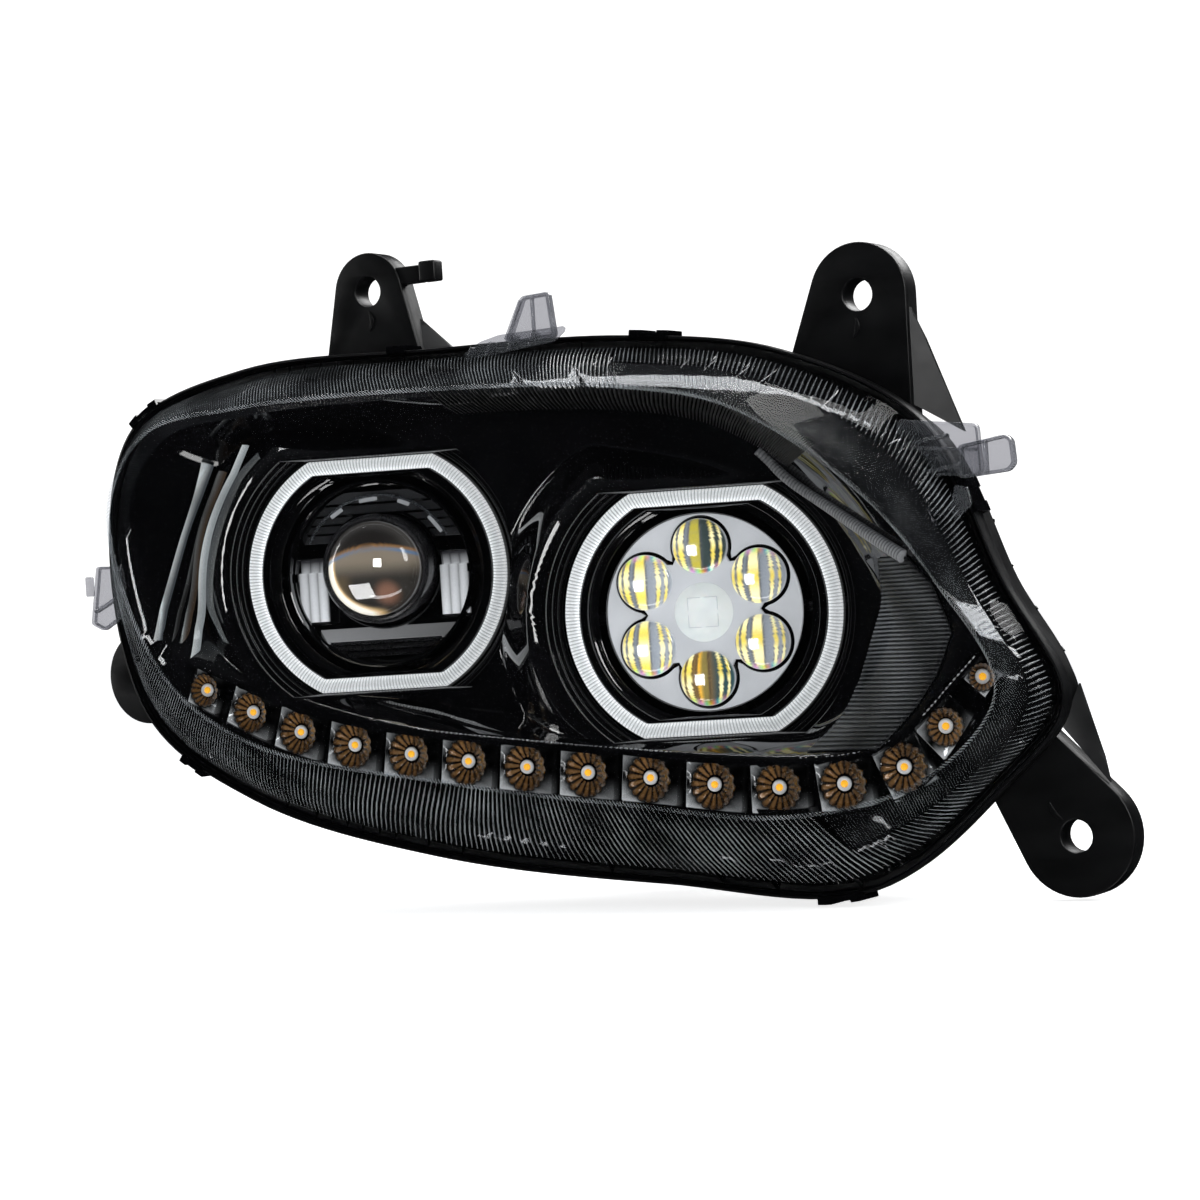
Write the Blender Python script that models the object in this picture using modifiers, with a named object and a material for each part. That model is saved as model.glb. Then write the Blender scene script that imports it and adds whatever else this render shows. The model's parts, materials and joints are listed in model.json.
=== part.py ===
"""Dual-lamp LED vehicle headlight assembly, built piece by piece.

Units are metres in the scene; sizes below are in millimetres and pass through MM.
World axes as installed: -Y is forward (the beams' direction), +Z is up, and +X is inboard.
The lens and the housing meet on a parting plane that is swept back about Z. That plane has
its own frame, the panel frame: x runs along the lamp, y straight back from the plane, z up.
"""
import math

import bmesh
import bpy
from mathutils import Matrix, Vector

MM = 0.001
SWEEP = math.radians(20)
GAP = 0.3

# Lines of the design in the panel frame, as (along, up), anticlockwise from the outboard end.
# Each point of one line answers the same point of the others.
PARTING_LINE = [
    (-330, 50), (-307, -64), (-225, -122), (-85, -161), (76, -180), (215, -186), (300, -128),
    (341, -80), (308, -9), (265, 84), (175, 134), (72, 152), (-66, 157), (-213, 157), (-304, 127),
]
FRONT_LINE = [
    (-284, 70), (-250, -34), (-183, -82), (-39, -111), (75, -126), (195, -137), (280, -117),
    (324, -70), (292, -8), (249, 45), (170, 100), (94, 118), (-26, 127), (-180, 128), (-252, 117),
]
BEZEL_LIP_LINE = [
    (-290, 64), (-283, 20), (-262, -16), (-225, -34), (-155, -57), (-73, -77.5), (5, -88),
    (90, -97), (216, -104), (250, -97), (276, -77), (301, -37), (291, -10), (249, 50),
    (169, 103), (88, 121), (-36, 129), (-187, 130), (-262, 115),
]
SIGNAL_LINE = [
    (-229, -48), (-158, -77.5), (-76, -94), (7, -104.5), (92, -113.5), (177, -121.5),
    (257, -112), (308.5, -63),
]
CHORDS = 3                      # straight pieces between two points of a line

# Depths in the panel frame, front to back
CROWN_W, FRONT_W, SHOULDER_W, FOOT_W = -74, -60, -32, 6
SHOULDER_SHARE = 0.55           # how far the lens has flared out at its shoulder
BEZEL_LIP_W, BEZEL_FLOOR_W = -46, -12
BEZEL_FLOOR_SCALE = (0.80, 0.86)
RIM_W, CHANNEL_W, WAIST_W = -4, 9.5, 45
LENS_WALL, BEZEL_WALL, HOUSING_WALL = 3.0, 2.5, 2.5
RIM_CLEARANCE = 2.8             # from the housing's rim to the lens foot
BODY_INSET = 9
REAR_SECTIONS = ((95, 0.88), (119, 0.77), (128, 0.70))
REAR_WALL_W = 128
REAR_CENTRE = (0, -10)

# Lamps: ring centres in the panel frame, and the halo ring's truncated circle
LOW_LAMP = (-109, -15, 18.8)
HIGH_LAMP = (120.7, -15, -17.7)
HALO_RADIUS, HALO_FLAT, HALO_WIDTH = 84, 73.7, 12.2
POD_RADIUS, POD_FLAT, POD_WALL = 96, 76.4, 2
POD_FRONT, POD_BACK = -9, 42
MODULE_OPENING, MODULE_RADIUS, DISC_RADIUS = 64.5, 60, 58.6
MODULE_FRONT, MODULE_BACK = 2, 36
PIVOT_Y, PIVOT_RADIUS, PIVOT_INNER_END = 30, 4, 54.5
PROJECTOR_RISE = 3.4            # the projector sits above the low lamp's axis
PROJECTOR_RADIUS, HOLDER_RADIUS = 31.7, 34
CUP_RADIUS = 56.4               # the room inside the low module's frame
PETAL_ORBIT, PETAL_RADIUS, OPTIC_SHRINK = 39.2, 18.0, 0.98

# Heat sinks: fins, their pitch and thickness, the base, the fins' reach and height
FINS, FIN_PITCH, FIN_WIDTH, FIN_BASE, FIN_REACH, FIN_HEIGHT = 7, 10, 3, 5, 22, 56

# Aim drive
AIM_ARM, SCREW_RADIUS, SCREW_FRONT, SCREW_SHOULDER, SCREW_END = 67, 3, 17, 166, 180

# Brackets: hole centre, end radius, the two feet on the housing, front and seat depths
HOLE_RADIUS, BOSS_RADIUS, BRACKET_WALL = 9.5, 17, 3.5
BRACKETS = {
    "upper_outboard": ((-123, 199), 25, (-160, 145), (-84, 148), 14, 30),
    "upper_inboard": ((220, 162), 31, (172, 124), (250, 84), 14, 30),
    "lower_inboard": ((335, -158), 35, (322, -96), (284, -132), 14, 30),
    "lower_outboard": ((-328, -38), 32, (-280, -66), (-300, 4), 26, 42),
}
SEAT_DROP = 13.5                # from the hole's centre to the middle of the seat below it

# Rear of the housing, as (along, up) in the panel frame
LOW_CAP = (-150, 14)
HIGH_CAP = (75, -12)
CAP_RADIUS, COLLAR_RADIUS, CAP_OPENING = 43, 40, 36
CABLE_EXIT = (-38, -82)
CABLE_RADIUS, PASSAGE_RADIUS = 4.5, 8.4
VENT = (150, 22)
VENT_RADIUS = 5.4
DRIVER = (-38, 2)
DRIVER_WIDTH, DRIVER_HEIGHT, DRIVER_DEPTH = 104, 72, 16
LID_FINS, LID_FIN_PITCH = 7, 15
PLUG_SIZE = (44, 18, 26)
LATCH_REACH, LATCH_HALF_WIDTH, LATCH_HALF_THICKNESS = 26, 5, 1.4

# Turn-signal strip: its front and back, and how far its cups are drilled
STRIP_FRONT_W, STRIP_BACK_W = -44, -31
CUP_DRILL, CHIP_RADIUS = 30, 3

# Lens locator tabs: size, centre and slope about the fore-and-aft axis in degrees
LOCATOR_TABS = {
    "tab_top_arm": ((62, 5, 26), (-8, -9, 158), -14),
    "tab_top_fin": ((34, 4, 30), (10, -9, 168), -3),
    "tab_side_arm": ((48, 5, 28), (274, -9, 66), -8),
    "tab_side_fin": ((30, 4, 22), (306, -9, 60), -8),
    "tab_outboard": ((32, 5, 44), (-334, -9, 16), 6),
}

# Blades: (along, up) at top, middle and bottom, width at the top and at the bottom
BLADES = {
    "fin_wide": ("chrome", [(-234, 101), (-250, 62), (-261, -8)], 11, 3.5),
    "fin_thin": ("chrome", [(-226, 90), (-243, 52), (-256, -8)], 2.2, 1.6),
    "fin_amber": ("amber_trim", [(-216, 94), (-234, 50), (-250, -12)], 5, 4),
    "fin_inner": ("chrome", [(-203, 104), (-224, 42), (-243, -22)], 3.2, 4.2),
}
BLADE_LIFT, BLADE_HEIGHT = 4.4, 5
BROW_LINE = [(198, 76), (217, 56), (236, 34), (262, 14)]
BROW_RADIUS = 3.6

# Clips sit on straight chords of the parting line: chord number and length
CLIPS = {"outboard_upper": (41, 26), "top_outboard": (36, 14), "top_inboard": (32, 26),
         "side": (25, 22), "bottom": (14, 30), "outboard_lower": (4, 20)}
# A clip's section as (outwards, depth): over the rim, down outside, under the channel's foot
CLIP_SECTION = [
    (-2, RIM_W - 0.4), (-2, RIM_W - 2.4), (3, RIM_W - 2.4), (3, 13.4),
    (-4.6, 13.4), (-4.6, 11.2), (0.7, 11.2), (0.7, RIM_W - 0.4),
]


def rotated_back(degrees):
    return (math.radians(degrees), 0, 0)


FACING_FORWARD = rotated_back(90)      # a flat outline's x, y become x, z and its normal -Y
AXIS_BACK = rotated_back(-90)          # a turned piece's axis becomes +Y


# ---------------------------------------------------------------- scene and materials
def clear_scene():
    for existing in list(bpy.data.objects):
        bpy.data.objects.remove(existing, do_unlink=True)


def new_collection(name):
    made = bpy.data.collections.new(name)
    bpy.context.scene.collection.children.link(made)
    return made


FINISHES = {
    # name: colour, roughness, metallic, transmission
    "housing_black": ((0.012, 0.012, 0.013), 0.45, 0, 0),
    "sealant": ((0.02, 0.02, 0.02), 0.8, 0, 0),
    "lens_clear": ((0.95, 0.96, 0.97), 0.04, 0, 1),
    "bezel_black": ((0.008, 0.008, 0.009), 0.12, 0, 0),
    "chrome": ((0.85, 0.86, 0.88), 0.06, 1, 0),
    "circuit_board": ((0.62, 0.64, 0.60), 0.5, 0, 0),
    "light_guide": ((0.90, 0.92, 0.93), 0.25, 0, 0.6),
    "amber_trim": ((0.62, 0.47, 0.40), 0.2, 0.4, 0),
    "glass": ((0.95, 0.95, 0.93), 0.02, 0, 1),
    "optic": ((0.92, 0.94, 0.92), 0.05, 0, 0.9),
    "silver_trim": ((0.78, 0.80, 0.83), 0.25, 0.6, 0),
    "aluminium": ((0.55, 0.56, 0.57), 0.4, 1, 0),
    "steel": ((0.60, 0.60, 0.62), 0.3, 1, 0),
    "nylon": ((0.75, 0.74, 0.70), 0.5, 0, 0),
    "rubber": ((0.015, 0.015, 0.015), 0.85, 0, 0),
    "cable_jacket": ((0.03, 0.03, 0.03), 0.6, 0, 0),
    "plug_grey": ((0.10, 0.10, 0.11), 0.5, 0, 0),
}


def make_material(name):
    colour, roughness, metallic, transmission = FINISHES[name]
    made = bpy.data.materials.new(name)
    made.use_nodes = True
    shader = made.node_tree.nodes["Principled BSDF"]
    shader.inputs["Base Color"].default_value = (*colour, 1)
    shader.inputs["Roughness"].default_value = roughness
    shader.inputs["Metallic"].default_value = metallic
    shader.inputs["Transmission Weight"].default_value = transmission
    return made


clear_scene()
PARTS = new_collection("headlight_assembly")
CUTTERS = new_collection("cutters")
MATERIALS = {name: make_material(name) for name in FINISHES}


def empty(name, parent=None, location=(0, 0, 0), rotation=(0, 0, 0)):
    made = bpy.data.objects.new(name, None)
    made.location = Vector(location) * MM
    made.rotation_euler = rotation
    made.parent = parent
    PARTS.objects.link(made)
    return made


def place(name, mesh, parent, finish, location=(0, 0, 0), rotation=(0, 0, 0)):
    """A part, or a hidden cutter when its finish is None."""
    made = bpy.data.objects.new(name, mesh)
    made.parent = parent
    made.location = Vector(location) * MM
    made.rotation_euler = rotation
    if finish is None:
        CUTTERS.objects.link(made)
        made.hide_render = True
        made.display_type = "WIRE"
    else:
        mesh.materials.append(MATERIALS[finish])
        PARTS.objects.link(made)
    return made


def boolean(target, operand, operation):
    step = target.modifiers.new(operation.lower(), "BOOLEAN")
    step.operation = operation
    step.solver = "EXACT"
    step.object = operand


# ---------------------------------------------------------------- lines
def spline_point(before, start, end, after, share):
    """A point on the centripetal Catmull-Rom curve between start and end."""
    points = [Vector(p) for p in (before, start, end, after)]
    knots = [0.0]
    for a, b in zip(points, points[1:]):
        knots.append(knots[-1] + max((b - a).length, 1e-6) ** 0.5)
    t = knots[1] + (knots[2] - knots[1]) * share

    def blend(p, q, t0, t1):
        return p * ((t1 - t) / (t1 - t0)) + q * ((t - t0) / (t1 - t0))

    first = [blend(points[i], points[i + 1], knots[i], knots[i + 1]) for i in range(3)]
    second = [blend(first[i], first[i + 1], knots[i], knots[i + 2]) for i in range(2)]
    return blend(second[0], second[1], knots[1], knots[2])


def smooth_loop(points, chords=CHORDS):
    count = len(points)
    line = []
    for i in range(count):
        corners = [points[(i + k) % count] for k in (-1, 0, 1, 2)]
        line += [spline_point(*corners, step / chords) for step in range(chords)]
    return line


def smooth_run(points, chords):
    ends = [Vector(points[0]) * 2 - Vector(points[1])]
    ends += [Vector(p) for p in points]
    ends.append(Vector(points[-1]) * 2 - Vector(points[-2]))
    line = []
    for i in range(len(points) - 1):
        line += [spline_point(*ends[i:i + 4], step / chords) for step in range(chords)]
    return line + [Vector(points[-1])]


def inset(loop, distance):
    """The loop moved inwards; loops run anticlockwise."""
    count = len(loop)
    moved = []
    for i, point in enumerate(loop):
        along = (loop[(i + 1) % count] - loop[i - 1]).normalized()
        moved.append(point + Vector((-along.y, along.x)) * distance)
    return moved


def between(loop, other, share):
    return [a.lerp(b, share) for a, b in zip(loop, other)]


def scaled(loop, factor_x, factor_y, centre=(0, 0)):
    middle = Vector(centre)
    return [middle + Vector(((p.x - middle.x) * factor_x, (p.y - middle.y) * factor_y))
            for p in loop]


def flat_circle(radius, flat, steps=12):
    """A circle cut off flat at the top and the bottom, anticlockwise."""
    reach = math.asin(flat / radius)
    right = [(math.cos(a), math.sin(a))
             for a in (-reach + 2 * reach * k / steps for k in range(steps + 1))]
    left = [(-x, -y) for x, y in right]
    return [Vector((x * radius, y * radius)) for x, y in right + left]


def circle(radius, steps=32):
    return [Vector((radius * math.cos(2 * math.pi * k / steps),
                    radius * math.sin(2 * math.pi * k / steps)))
            for k in range(steps)]


def at_depth(loop, depth):
    return [(p.x, depth, p.y) for p in loop]


# ---------------------------------------------------------------- makers
def loft(rows, closed_rows=False, cap_first=False, cap_last=False, closed_loops=True):
    """A surface through rows of points, each row as long as the next."""
    shape = bmesh.new()
    rings = [[shape.verts.new(Vector(p) * MM) for p in row] for row in rows]
    pairs = list(zip(rings, rings[1:]))
    if closed_rows:
        pairs.append((rings[-1], rings[0]))
    size = len(rings[0])
    for low, high in pairs:
        for i in range(size if closed_loops else size - 1):
            k = (i + 1) % size
            shape.faces.new((low[i], low[k], high[k], high[i]))
    if cap_first:
        shape.faces.new(list(reversed(rings[0])))
    if cap_last:
        shape.faces.new(rings[-1])
    mesh = bpy.data.meshes.new("loft")
    shape.to_mesh(mesh)
    shape.free()
    return mesh


def closed_loft(rows, **how):
    """A loft that bounds a solid, with its faces turned outwards."""
    mesh = loft(rows, **how)
    shape = bmesh.new()
    shape.from_mesh(mesh)
    bmesh.ops.recalc_face_normals(shape, faces=shape.faces)
    shape.to_mesh(mesh)
    shape.free()
    return mesh


def solidify(target, thickness):
    step = target.modifiers.new("wall", "SOLIDIFY")
    step.thickness = thickness * MM
    step.offset = -1
    step.use_even_offset = True
    return step


def plate_mesh(outlines, thickness):
    """A flat plate from 2D outlines, the later ones being its holes."""
    drawn = bpy.data.curves.new("plate", "CURVE")
    drawn.dimensions = "2D"
    drawn.fill_mode = "BOTH"
    drawn.extrude = thickness * MM / 2
    for outline in outlines:
        spline = drawn.splines.new("POLY")
        spline.points.add(len(outline) - 1)
        for point, place_at in zip(spline.points, outline):
            point.co = (place_at[0] * MM, place_at[1] * MM, 0, 1)
        spline.use_cyclic_u = True
    return mesh_of_curve(drawn)


def mesh_of_curve(drawn):
    holder = bpy.data.objects.new("drawn", drawn)
    PARTS.objects.link(holder)
    bpy.context.view_layer.update()
    seen = holder.evaluated_get(bpy.context.evaluated_depsgraph_get())
    mesh = bpy.data.meshes.new_from_object(seen)
    bpy.data.objects.remove(holder)
    shape = bmesh.new()
    shape.from_mesh(mesh)
    bmesh.ops.remove_doubles(shape, verts=shape.verts, dist=0.00001)
    bmesh.ops.recalc_face_normals(shape, faces=shape.faces)
    shape.to_mesh(mesh)
    shape.free()
    mesh.materials.clear()
    return mesh


def tube_mesh(spots, radius):
    """A round tube through points."""
    drawn = bpy.data.curves.new("tube", "CURVE")
    drawn.dimensions = "3D"
    drawn.bevel_depth = radius * MM
    drawn.bevel_resolution = 2
    drawn.use_fill_caps = True
    spline = drawn.splines.new("POLY")
    spline.points.add(len(spots) - 1)
    for point, spot in zip(spline.points, spots):
        point.co = (*(Vector(spot) * MM), 1)
    return mesh_of_curve(drawn)


def plate(name, parent, finish, outlines, front, back):
    """A plate that faces forward, between two depths."""
    return place(name, plate_mesh(outlines, back - front), parent, finish,
                 (0, (front + back) / 2, 0), FACING_FORWARD)


def turned(name, parent, finish, profile, location=(0, 0, 0), rotation=AXIS_BACK, steps=28,
           closed=True):
    """A turned piece. The profile holds (radius, depth), going forward along the outside."""
    mesh = bpy.data.meshes.new(name)
    points = [(radius * MM, 0, depth * MM) for radius, depth in profile]
    edges = [(i, i + 1) for i in range(len(points) - 1)]
    if closed:
        edges.append((len(points) - 1, 0))
    mesh.from_pydata(points, edges, [])
    made = place(name, mesh, parent, finish, location, rotation)
    turn = made.modifiers.new("turn", "SCREW")
    turn.axis = "Z"
    turn.steps = turn.render_steps = steps
    turn.use_merge_vertices = True
    turn.merge_threshold = 0.00001
    turn.use_smooth_shade = True
    return made


def box_mesh(size, centre=(0, 0, 0)):
    shape = bmesh.new()
    bmesh.ops.create_cube(shape, size=1)
    for vert in shape.verts:
        vert.co = Vector([(vert.co[k] * size[k] + centre[k]) * MM for k in range(3)])
    mesh = bpy.data.meshes.new("box")
    shape.to_mesh(mesh)
    shape.free()
    return mesh


def box(name, parent, finish, size, centre, rotation=(0, 0, 0), rounding=0):
    made = place(name, box_mesh(size), parent, finish, centre, rotation)
    if rounding:
        bevel = made.modifiers.new("rounding", "BEVEL")
        bevel.width = rounding * MM
        bevel.segments = 2
    return made


def rod(name, parent, finish, radius, length, centre, rotation=AXIS_BACK, steps=20,
        end_radius=None):
    shape = bmesh.new()
    bmesh.ops.create_cone(shape, cap_ends=True, segments=steps, depth=length * MM,
                          radius1=radius * MM,
                          radius2=(radius if end_radius is None else end_radius) * MM)
    mesh = bpy.data.meshes.new(name)
    shape.to_mesh(mesh)
    shape.free()
    return place(name, mesh, parent, finish, centre, rotation)


def bar(name, parent, finish, section, half_width):
    """A prism across the lamp from a (depth, height) section."""
    rows = [[(side * half_width, depth, height) for depth, height in section]
            for side in (-1, 1)]
    mesh = closed_loft(rows, cap_first=True, cap_last=True)
    return place(name, mesh, parent, finish)


# ---------------------------------------------------------------- frames
def panel_to_lamp(along, back, up):
    turn = Matrix.Rotation(-SWEEP, 4, "Z")
    return turn @ Vector((along, back, up))


def seat_point(bracket):
    (hole_x, hole_z), _, _, _, _, seat = BRACKETS[bracket]
    return Vector((hole_x, seat, hole_z - SEAT_DROP))


# The origin is the seat of the upper inboard bracket, just below its bolt hole.
DATUM = panel_to_lamp(*seat_point("upper_inboard"))
lamp_frame = empty("lamp_frame", location=-DATUM)
panel = empty("panel_frame", lamp_frame, rotation=(0, 0, -SWEEP))
low = empty("low_lamp_axis", lamp_frame, panel_to_lamp(*LOW_LAMP))
high = empty("high_lamp_axis", lamp_frame, panel_to_lamp(*HIGH_LAMP))

parting = smooth_loop(PARTING_LINE)
front = smooth_loop(FRONT_LINE)
foot = inset(parting, RIM_CLEARANCE)
shoulder = between(front, foot, SHOULDER_SHARE)
bezel_lip = smooth_loop(BEZEL_LIP_LINE, 2)
bezel_floor = scaled(bezel_lip, *BEZEL_FLOOR_SCALE)


# ---------------------------------------------------------------- housing
def tongue(centre, radius, foot_a, foot_b, steps=9):
    """The outline of a bracket: two feet, joined by tangents to a round end."""
    middle = Vector(centre)

    def tangent_angle(foot_point, side):
        away = Vector(foot_point) - middle
        return math.atan2(away.y, away.x) + side * math.acos(min(1, radius / away.length))

    start = tangent_angle(foot_a, -1)
    end = tangent_angle(foot_b, 1)
    while end > start:
        end -= 2 * math.pi
    arc = [middle + Vector((math.cos(a), math.sin(a))) * radius
           for a in (start + (end - start) * k / steps for k in range(steps + 1))]
    loop = [Vector(foot_a)] + arc + [Vector(foot_b)]
    return list(reversed(loop))


def add_bracket(housing, name):
    centre, radius, foot_a, foot_b, face, seat = BRACKETS[name]
    outline = tongue(centre, radius, foot_a, foot_b)
    body = plate(name + "_tongue", panel, None, [outline], face, seat)
    hollow = plate(name + "_hollow", panel, None, [inset(outline, BRACKET_WALL)],
                   face + BRACKET_WALL, seat + 1)
    boolean(body, hollow, "DIFFERENCE")
    boss = rod(name + "_boss", panel, None, BOSS_RADIUS, seat - face - 1,
               (centre[0], (seat + face + 1) / 2, centre[1]), steps=18)
    hole = rod(name + "_hole", panel, None, HOLE_RADIUS, 60, (centre[0], seat, centre[1]),
               steps=18)
    boolean(body, boss, "UNION")
    boolean(body, hole, "DIFFERENCE")
    boolean(housing, body, "UNION")


def make_housing():
    rim = inset(parting, HOUSING_WALL / 2)
    body = inset(parting, BODY_INSET)
    rows = [at_depth(rim, RIM_W), at_depth(rim, CHANNEL_W), at_depth(body, CHANNEL_W),
            at_depth(inset(parting, BODY_INSET + 2), WAIST_W)]
    rows += [at_depth(scaled(parting, size, size, REAR_CENTRE), depth)
             for depth, size in REAR_SECTIONS]
    mesh = loft(rows, cap_last=True)
    housing = place("rear_housing", mesh, panel, "housing_black")
    wall = solidify(housing, HOUSING_WALL)
    wall.offset = 0
    for name in BRACKETS:
        add_bracket(housing, name)
    for name, (along, up) in (("low", LOW_CAP), ("high", HIGH_CAP)):
        collar = rod(name + "_collar", panel, None, COLLAR_RADIUS, 16,
                     (along, REAR_WALL_W + 4, up), steps=24)
        opening = rod(name + "_opening", panel, None, CAP_OPENING, 40,
                      (along, REAR_WALL_W, up), steps=24)
        boolean(housing, collar, "UNION")
        boolean(housing, opening, "DIFFERENCE")
    for name, lamp in (("low", low), ("high", high)):
        passage = rod(name + "_screw_passage", lamp, None, PASSAGE_RADIUS, 60,
                      (0, 150, -AIM_ARM), steps=12)
        boolean(housing, passage, "DIFFERENCE")
    for name, radius, (along, up) in (("cable_passage", PASSAGE_RADIUS, CABLE_EXIT),
                                      ("vent_passage", VENT_RADIUS, VENT)):
        passage = rod(name, panel, None, radius, 30, (along, REAR_WALL_W, up))
        boolean(housing, passage, "DIFFERENCE")


def make_seal():
    outer = inset(parting, RIM_CLEARANCE + 0.3)
    inner = inset(parting, RIM_CLEARANCE + 3.4)
    depths = (FOOT_W + GAP, CHANNEL_W - HOUSING_WALL / 2 - GAP)
    rows = [at_depth(outer, depths[0]), at_depth(outer, depths[1]),
            at_depth(inner, depths[1]), at_depth(inner, depths[0])]
    place("housing_seal", closed_loft(rows, closed_rows=True), panel, "sealant")


# ---------------------------------------------------------------- lens
def lens_crown(share):
    return FRONT_W + (CROWN_W - FRONT_W) * (1 - share * share)


def make_lens():
    rows = [at_depth(foot, FOOT_W), at_depth(foot, -1), at_depth(shoulder, SHOULDER_W),
            at_depth(front, FRONT_W)]
    rows += [at_depth(scaled(front, share, share), lens_crown(share)) for share in (0.7, 0.35)]
    lens = place("lens_cover", loft(rows, cap_last=True), panel, "lens_clear")
    solidify(lens, LENS_WALL)
    for name, (size, centre, slope) in LOCATOR_TABS.items():
        tab = box(name, panel, None, size, centre, (0, math.radians(slope), 0))
        boolean(lens, tab, "UNION")


# ---------------------------------------------------------------- bezel
def polar_reach(loop, direction):
    """How far the loop lies from the frame's centre in a direction."""
    best = 0
    for a, b in zip(loop, loop[1:] + loop[:1]):
        span = b - a
        cross = direction.x * span.y - direction.y * span.x
        if abs(cross) < 1e-9:
            continue
        reach = (a.x * span.y - a.y * span.x) / cross
        share = (a.x * direction.y - a.y * direction.x) / cross
        if reach > 0 and -1e-6 <= share <= 1 + 1e-6:
            best = max(best, reach)
    return best


def bezel_depth(along, up):
    """Depth of the bezel's face: a flat floor, then walls that rise to the lip."""
    spot = Vector((along, up))
    if spot.length < 1:
        return BEZEL_FLOOR_W
    direction = spot.normalized()
    inner, outer = polar_reach(bezel_floor, direction), polar_reach(bezel_lip, direction)
    share = min(1, max(0, (spot.length - inner) / (outer - inner)))
    return BEZEL_FLOOR_W + (BEZEL_LIP_W - BEZEL_FLOOR_W) * share


def pod_front(lamp, x, z):
    """Where the pod's wall meets the bezel's face, or its own front edge if that is ahead."""
    start = panel_to_lamp(*lamp)
    depth = 0.0
    for _ in range(6):
        spot = Matrix.Rotation(SWEEP, 4, "Z") @ (start + Vector((x, depth, z)))
        depth += (bezel_depth(spot.x, spot.z) + 1 - spot.y) / math.cos(SWEEP)
    return min(POD_FRONT, depth)


def pod_mesh(lamp):
    outer = flat_circle(POD_RADIUS, POD_FLAT)
    inner = flat_circle(POD_RADIUS - POD_WALL, POD_FLAT - POD_WALL)
    fronts = [pod_front(lamp, p.x, p.y) for p in outer]
    rows = [[(p.x, POD_BACK, p.y) for p in outer],
            [(p.x, y, p.y) for p, y in zip(outer, fronts)],
            [(p.x, y, p.y) for p, y in zip(inner, fronts)],
            [(p.x, POD_BACK, p.y) for p in inner]]
    return closed_loft(rows, closed_rows=True)


def make_bezel():
    rows = [at_depth(bezel_lip, BEZEL_LIP_W), at_depth(bezel_floor, BEZEL_FLOOR_W)]
    bezel = place("bezel", loft(rows, cap_last=True), panel, "bezel_black")
    solidify(bezel, BEZEL_WALL).offset = 1
    for name, axis, lamp in (("low", low, LOW_LAMP), ("high", high, HIGH_LAMP)):
        pod = place(name + "_pod", pod_mesh(lamp), axis, None)
        bore = plate(name + "_bore", axis, None,
                     [flat_circle(POD_RADIUS - POD_WALL - 0.2, POD_FLAT - POD_WALL - 0.2)],
                     -110, 90)
        boolean(bezel, pod, "UNION")
        boolean(bezel, bore, "DIFFERENCE")


# ---------------------------------------------------------------- halo rings
def make_halo(prefix, lamp):
    def ring(margin, front_y, back_y, crest=0):
        outer = flat_circle(HALO_RADIUS - margin, HALO_FLAT - margin)
        inner = flat_circle(HALO_RADIUS - HALO_WIDTH + margin,
                            HALO_FLAT - HALO_WIDTH + margin)
        rows = [at_depth(outer, back_y), at_depth(outer, front_y)]
        if crest:
            rows.append(at_depth(between(outer, inner, 0.5), front_y - crest))
        rows += [at_depth(inner, front_y), at_depth(inner, back_y)]
        return closed_loft(rows, closed_rows=True)

    place(prefix + "_halo_guide", ring(0, -3, 3, 3), lamp, "light_guide")
    place(prefix + "_halo_board", ring(1, 3.3, 4.9), lamp, "circuit_board")
    plate(prefix + "_halo_bezel", lamp, "bezel_black",
          [flat_circle(POD_RADIUS - POD_WALL - 0.8, POD_FLAT - POD_WALL - 0.8),
           circle(MODULE_OPENING)], 5.2, 8.2)


# ---------------------------------------------------------------- turn-signal strip
def signal_stations(chords):
    return smooth_run(SIGNAL_LINE, chords)


def signal_half_height(share):
    """Half the strip's height, narrower at both ends."""
    return min(15.6, 12.9 + 13 * share, 9.2 + 45 * (1 - share))


def strip_rows(front_w, back_w, margin):
    line = signal_stations(2)
    start = line[0] + (line[0] - line[1]).normalized() * (13 - margin)
    end = line[-1] + (line[-1] - line[-2]).normalized() * (8.5 - margin)
    line = [start] + line[1:-1] + [end]
    rows = []
    for i, point in enumerate(line):
        along = (line[min(i + 1, len(line) - 1)] - line[max(i - 1, 0)]).normalized()
        across = Vector((-along.y, along.x))
        half = signal_half_height(i / (len(line) - 1)) - margin
        low_edge, high_edge = point - across * half, point + across * half
        rows.append([(low_edge.x, front_w, low_edge.y), (high_edge.x, front_w, high_edge.y),
                     (high_edge.x, back_w, high_edge.y), (low_edge.x, back_w, low_edge.y)])
    return rows


def signal_lights():
    """Each light's place in the panel frame with its cup's radius."""
    line = signal_stations(2)
    count = len(line) - 1
    return [(point, signal_half_height(i / count) - 1.2) for i, point in enumerate(line)]


def facing(point, depth):
    """A matrix for a piece that faces forward from a point of the swept panel."""
    spot = Vector((point.x, depth, point.y)) * MM
    return Matrix.Translation(spot) @ Matrix.Rotation(SWEEP, 4, "Z")


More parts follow.
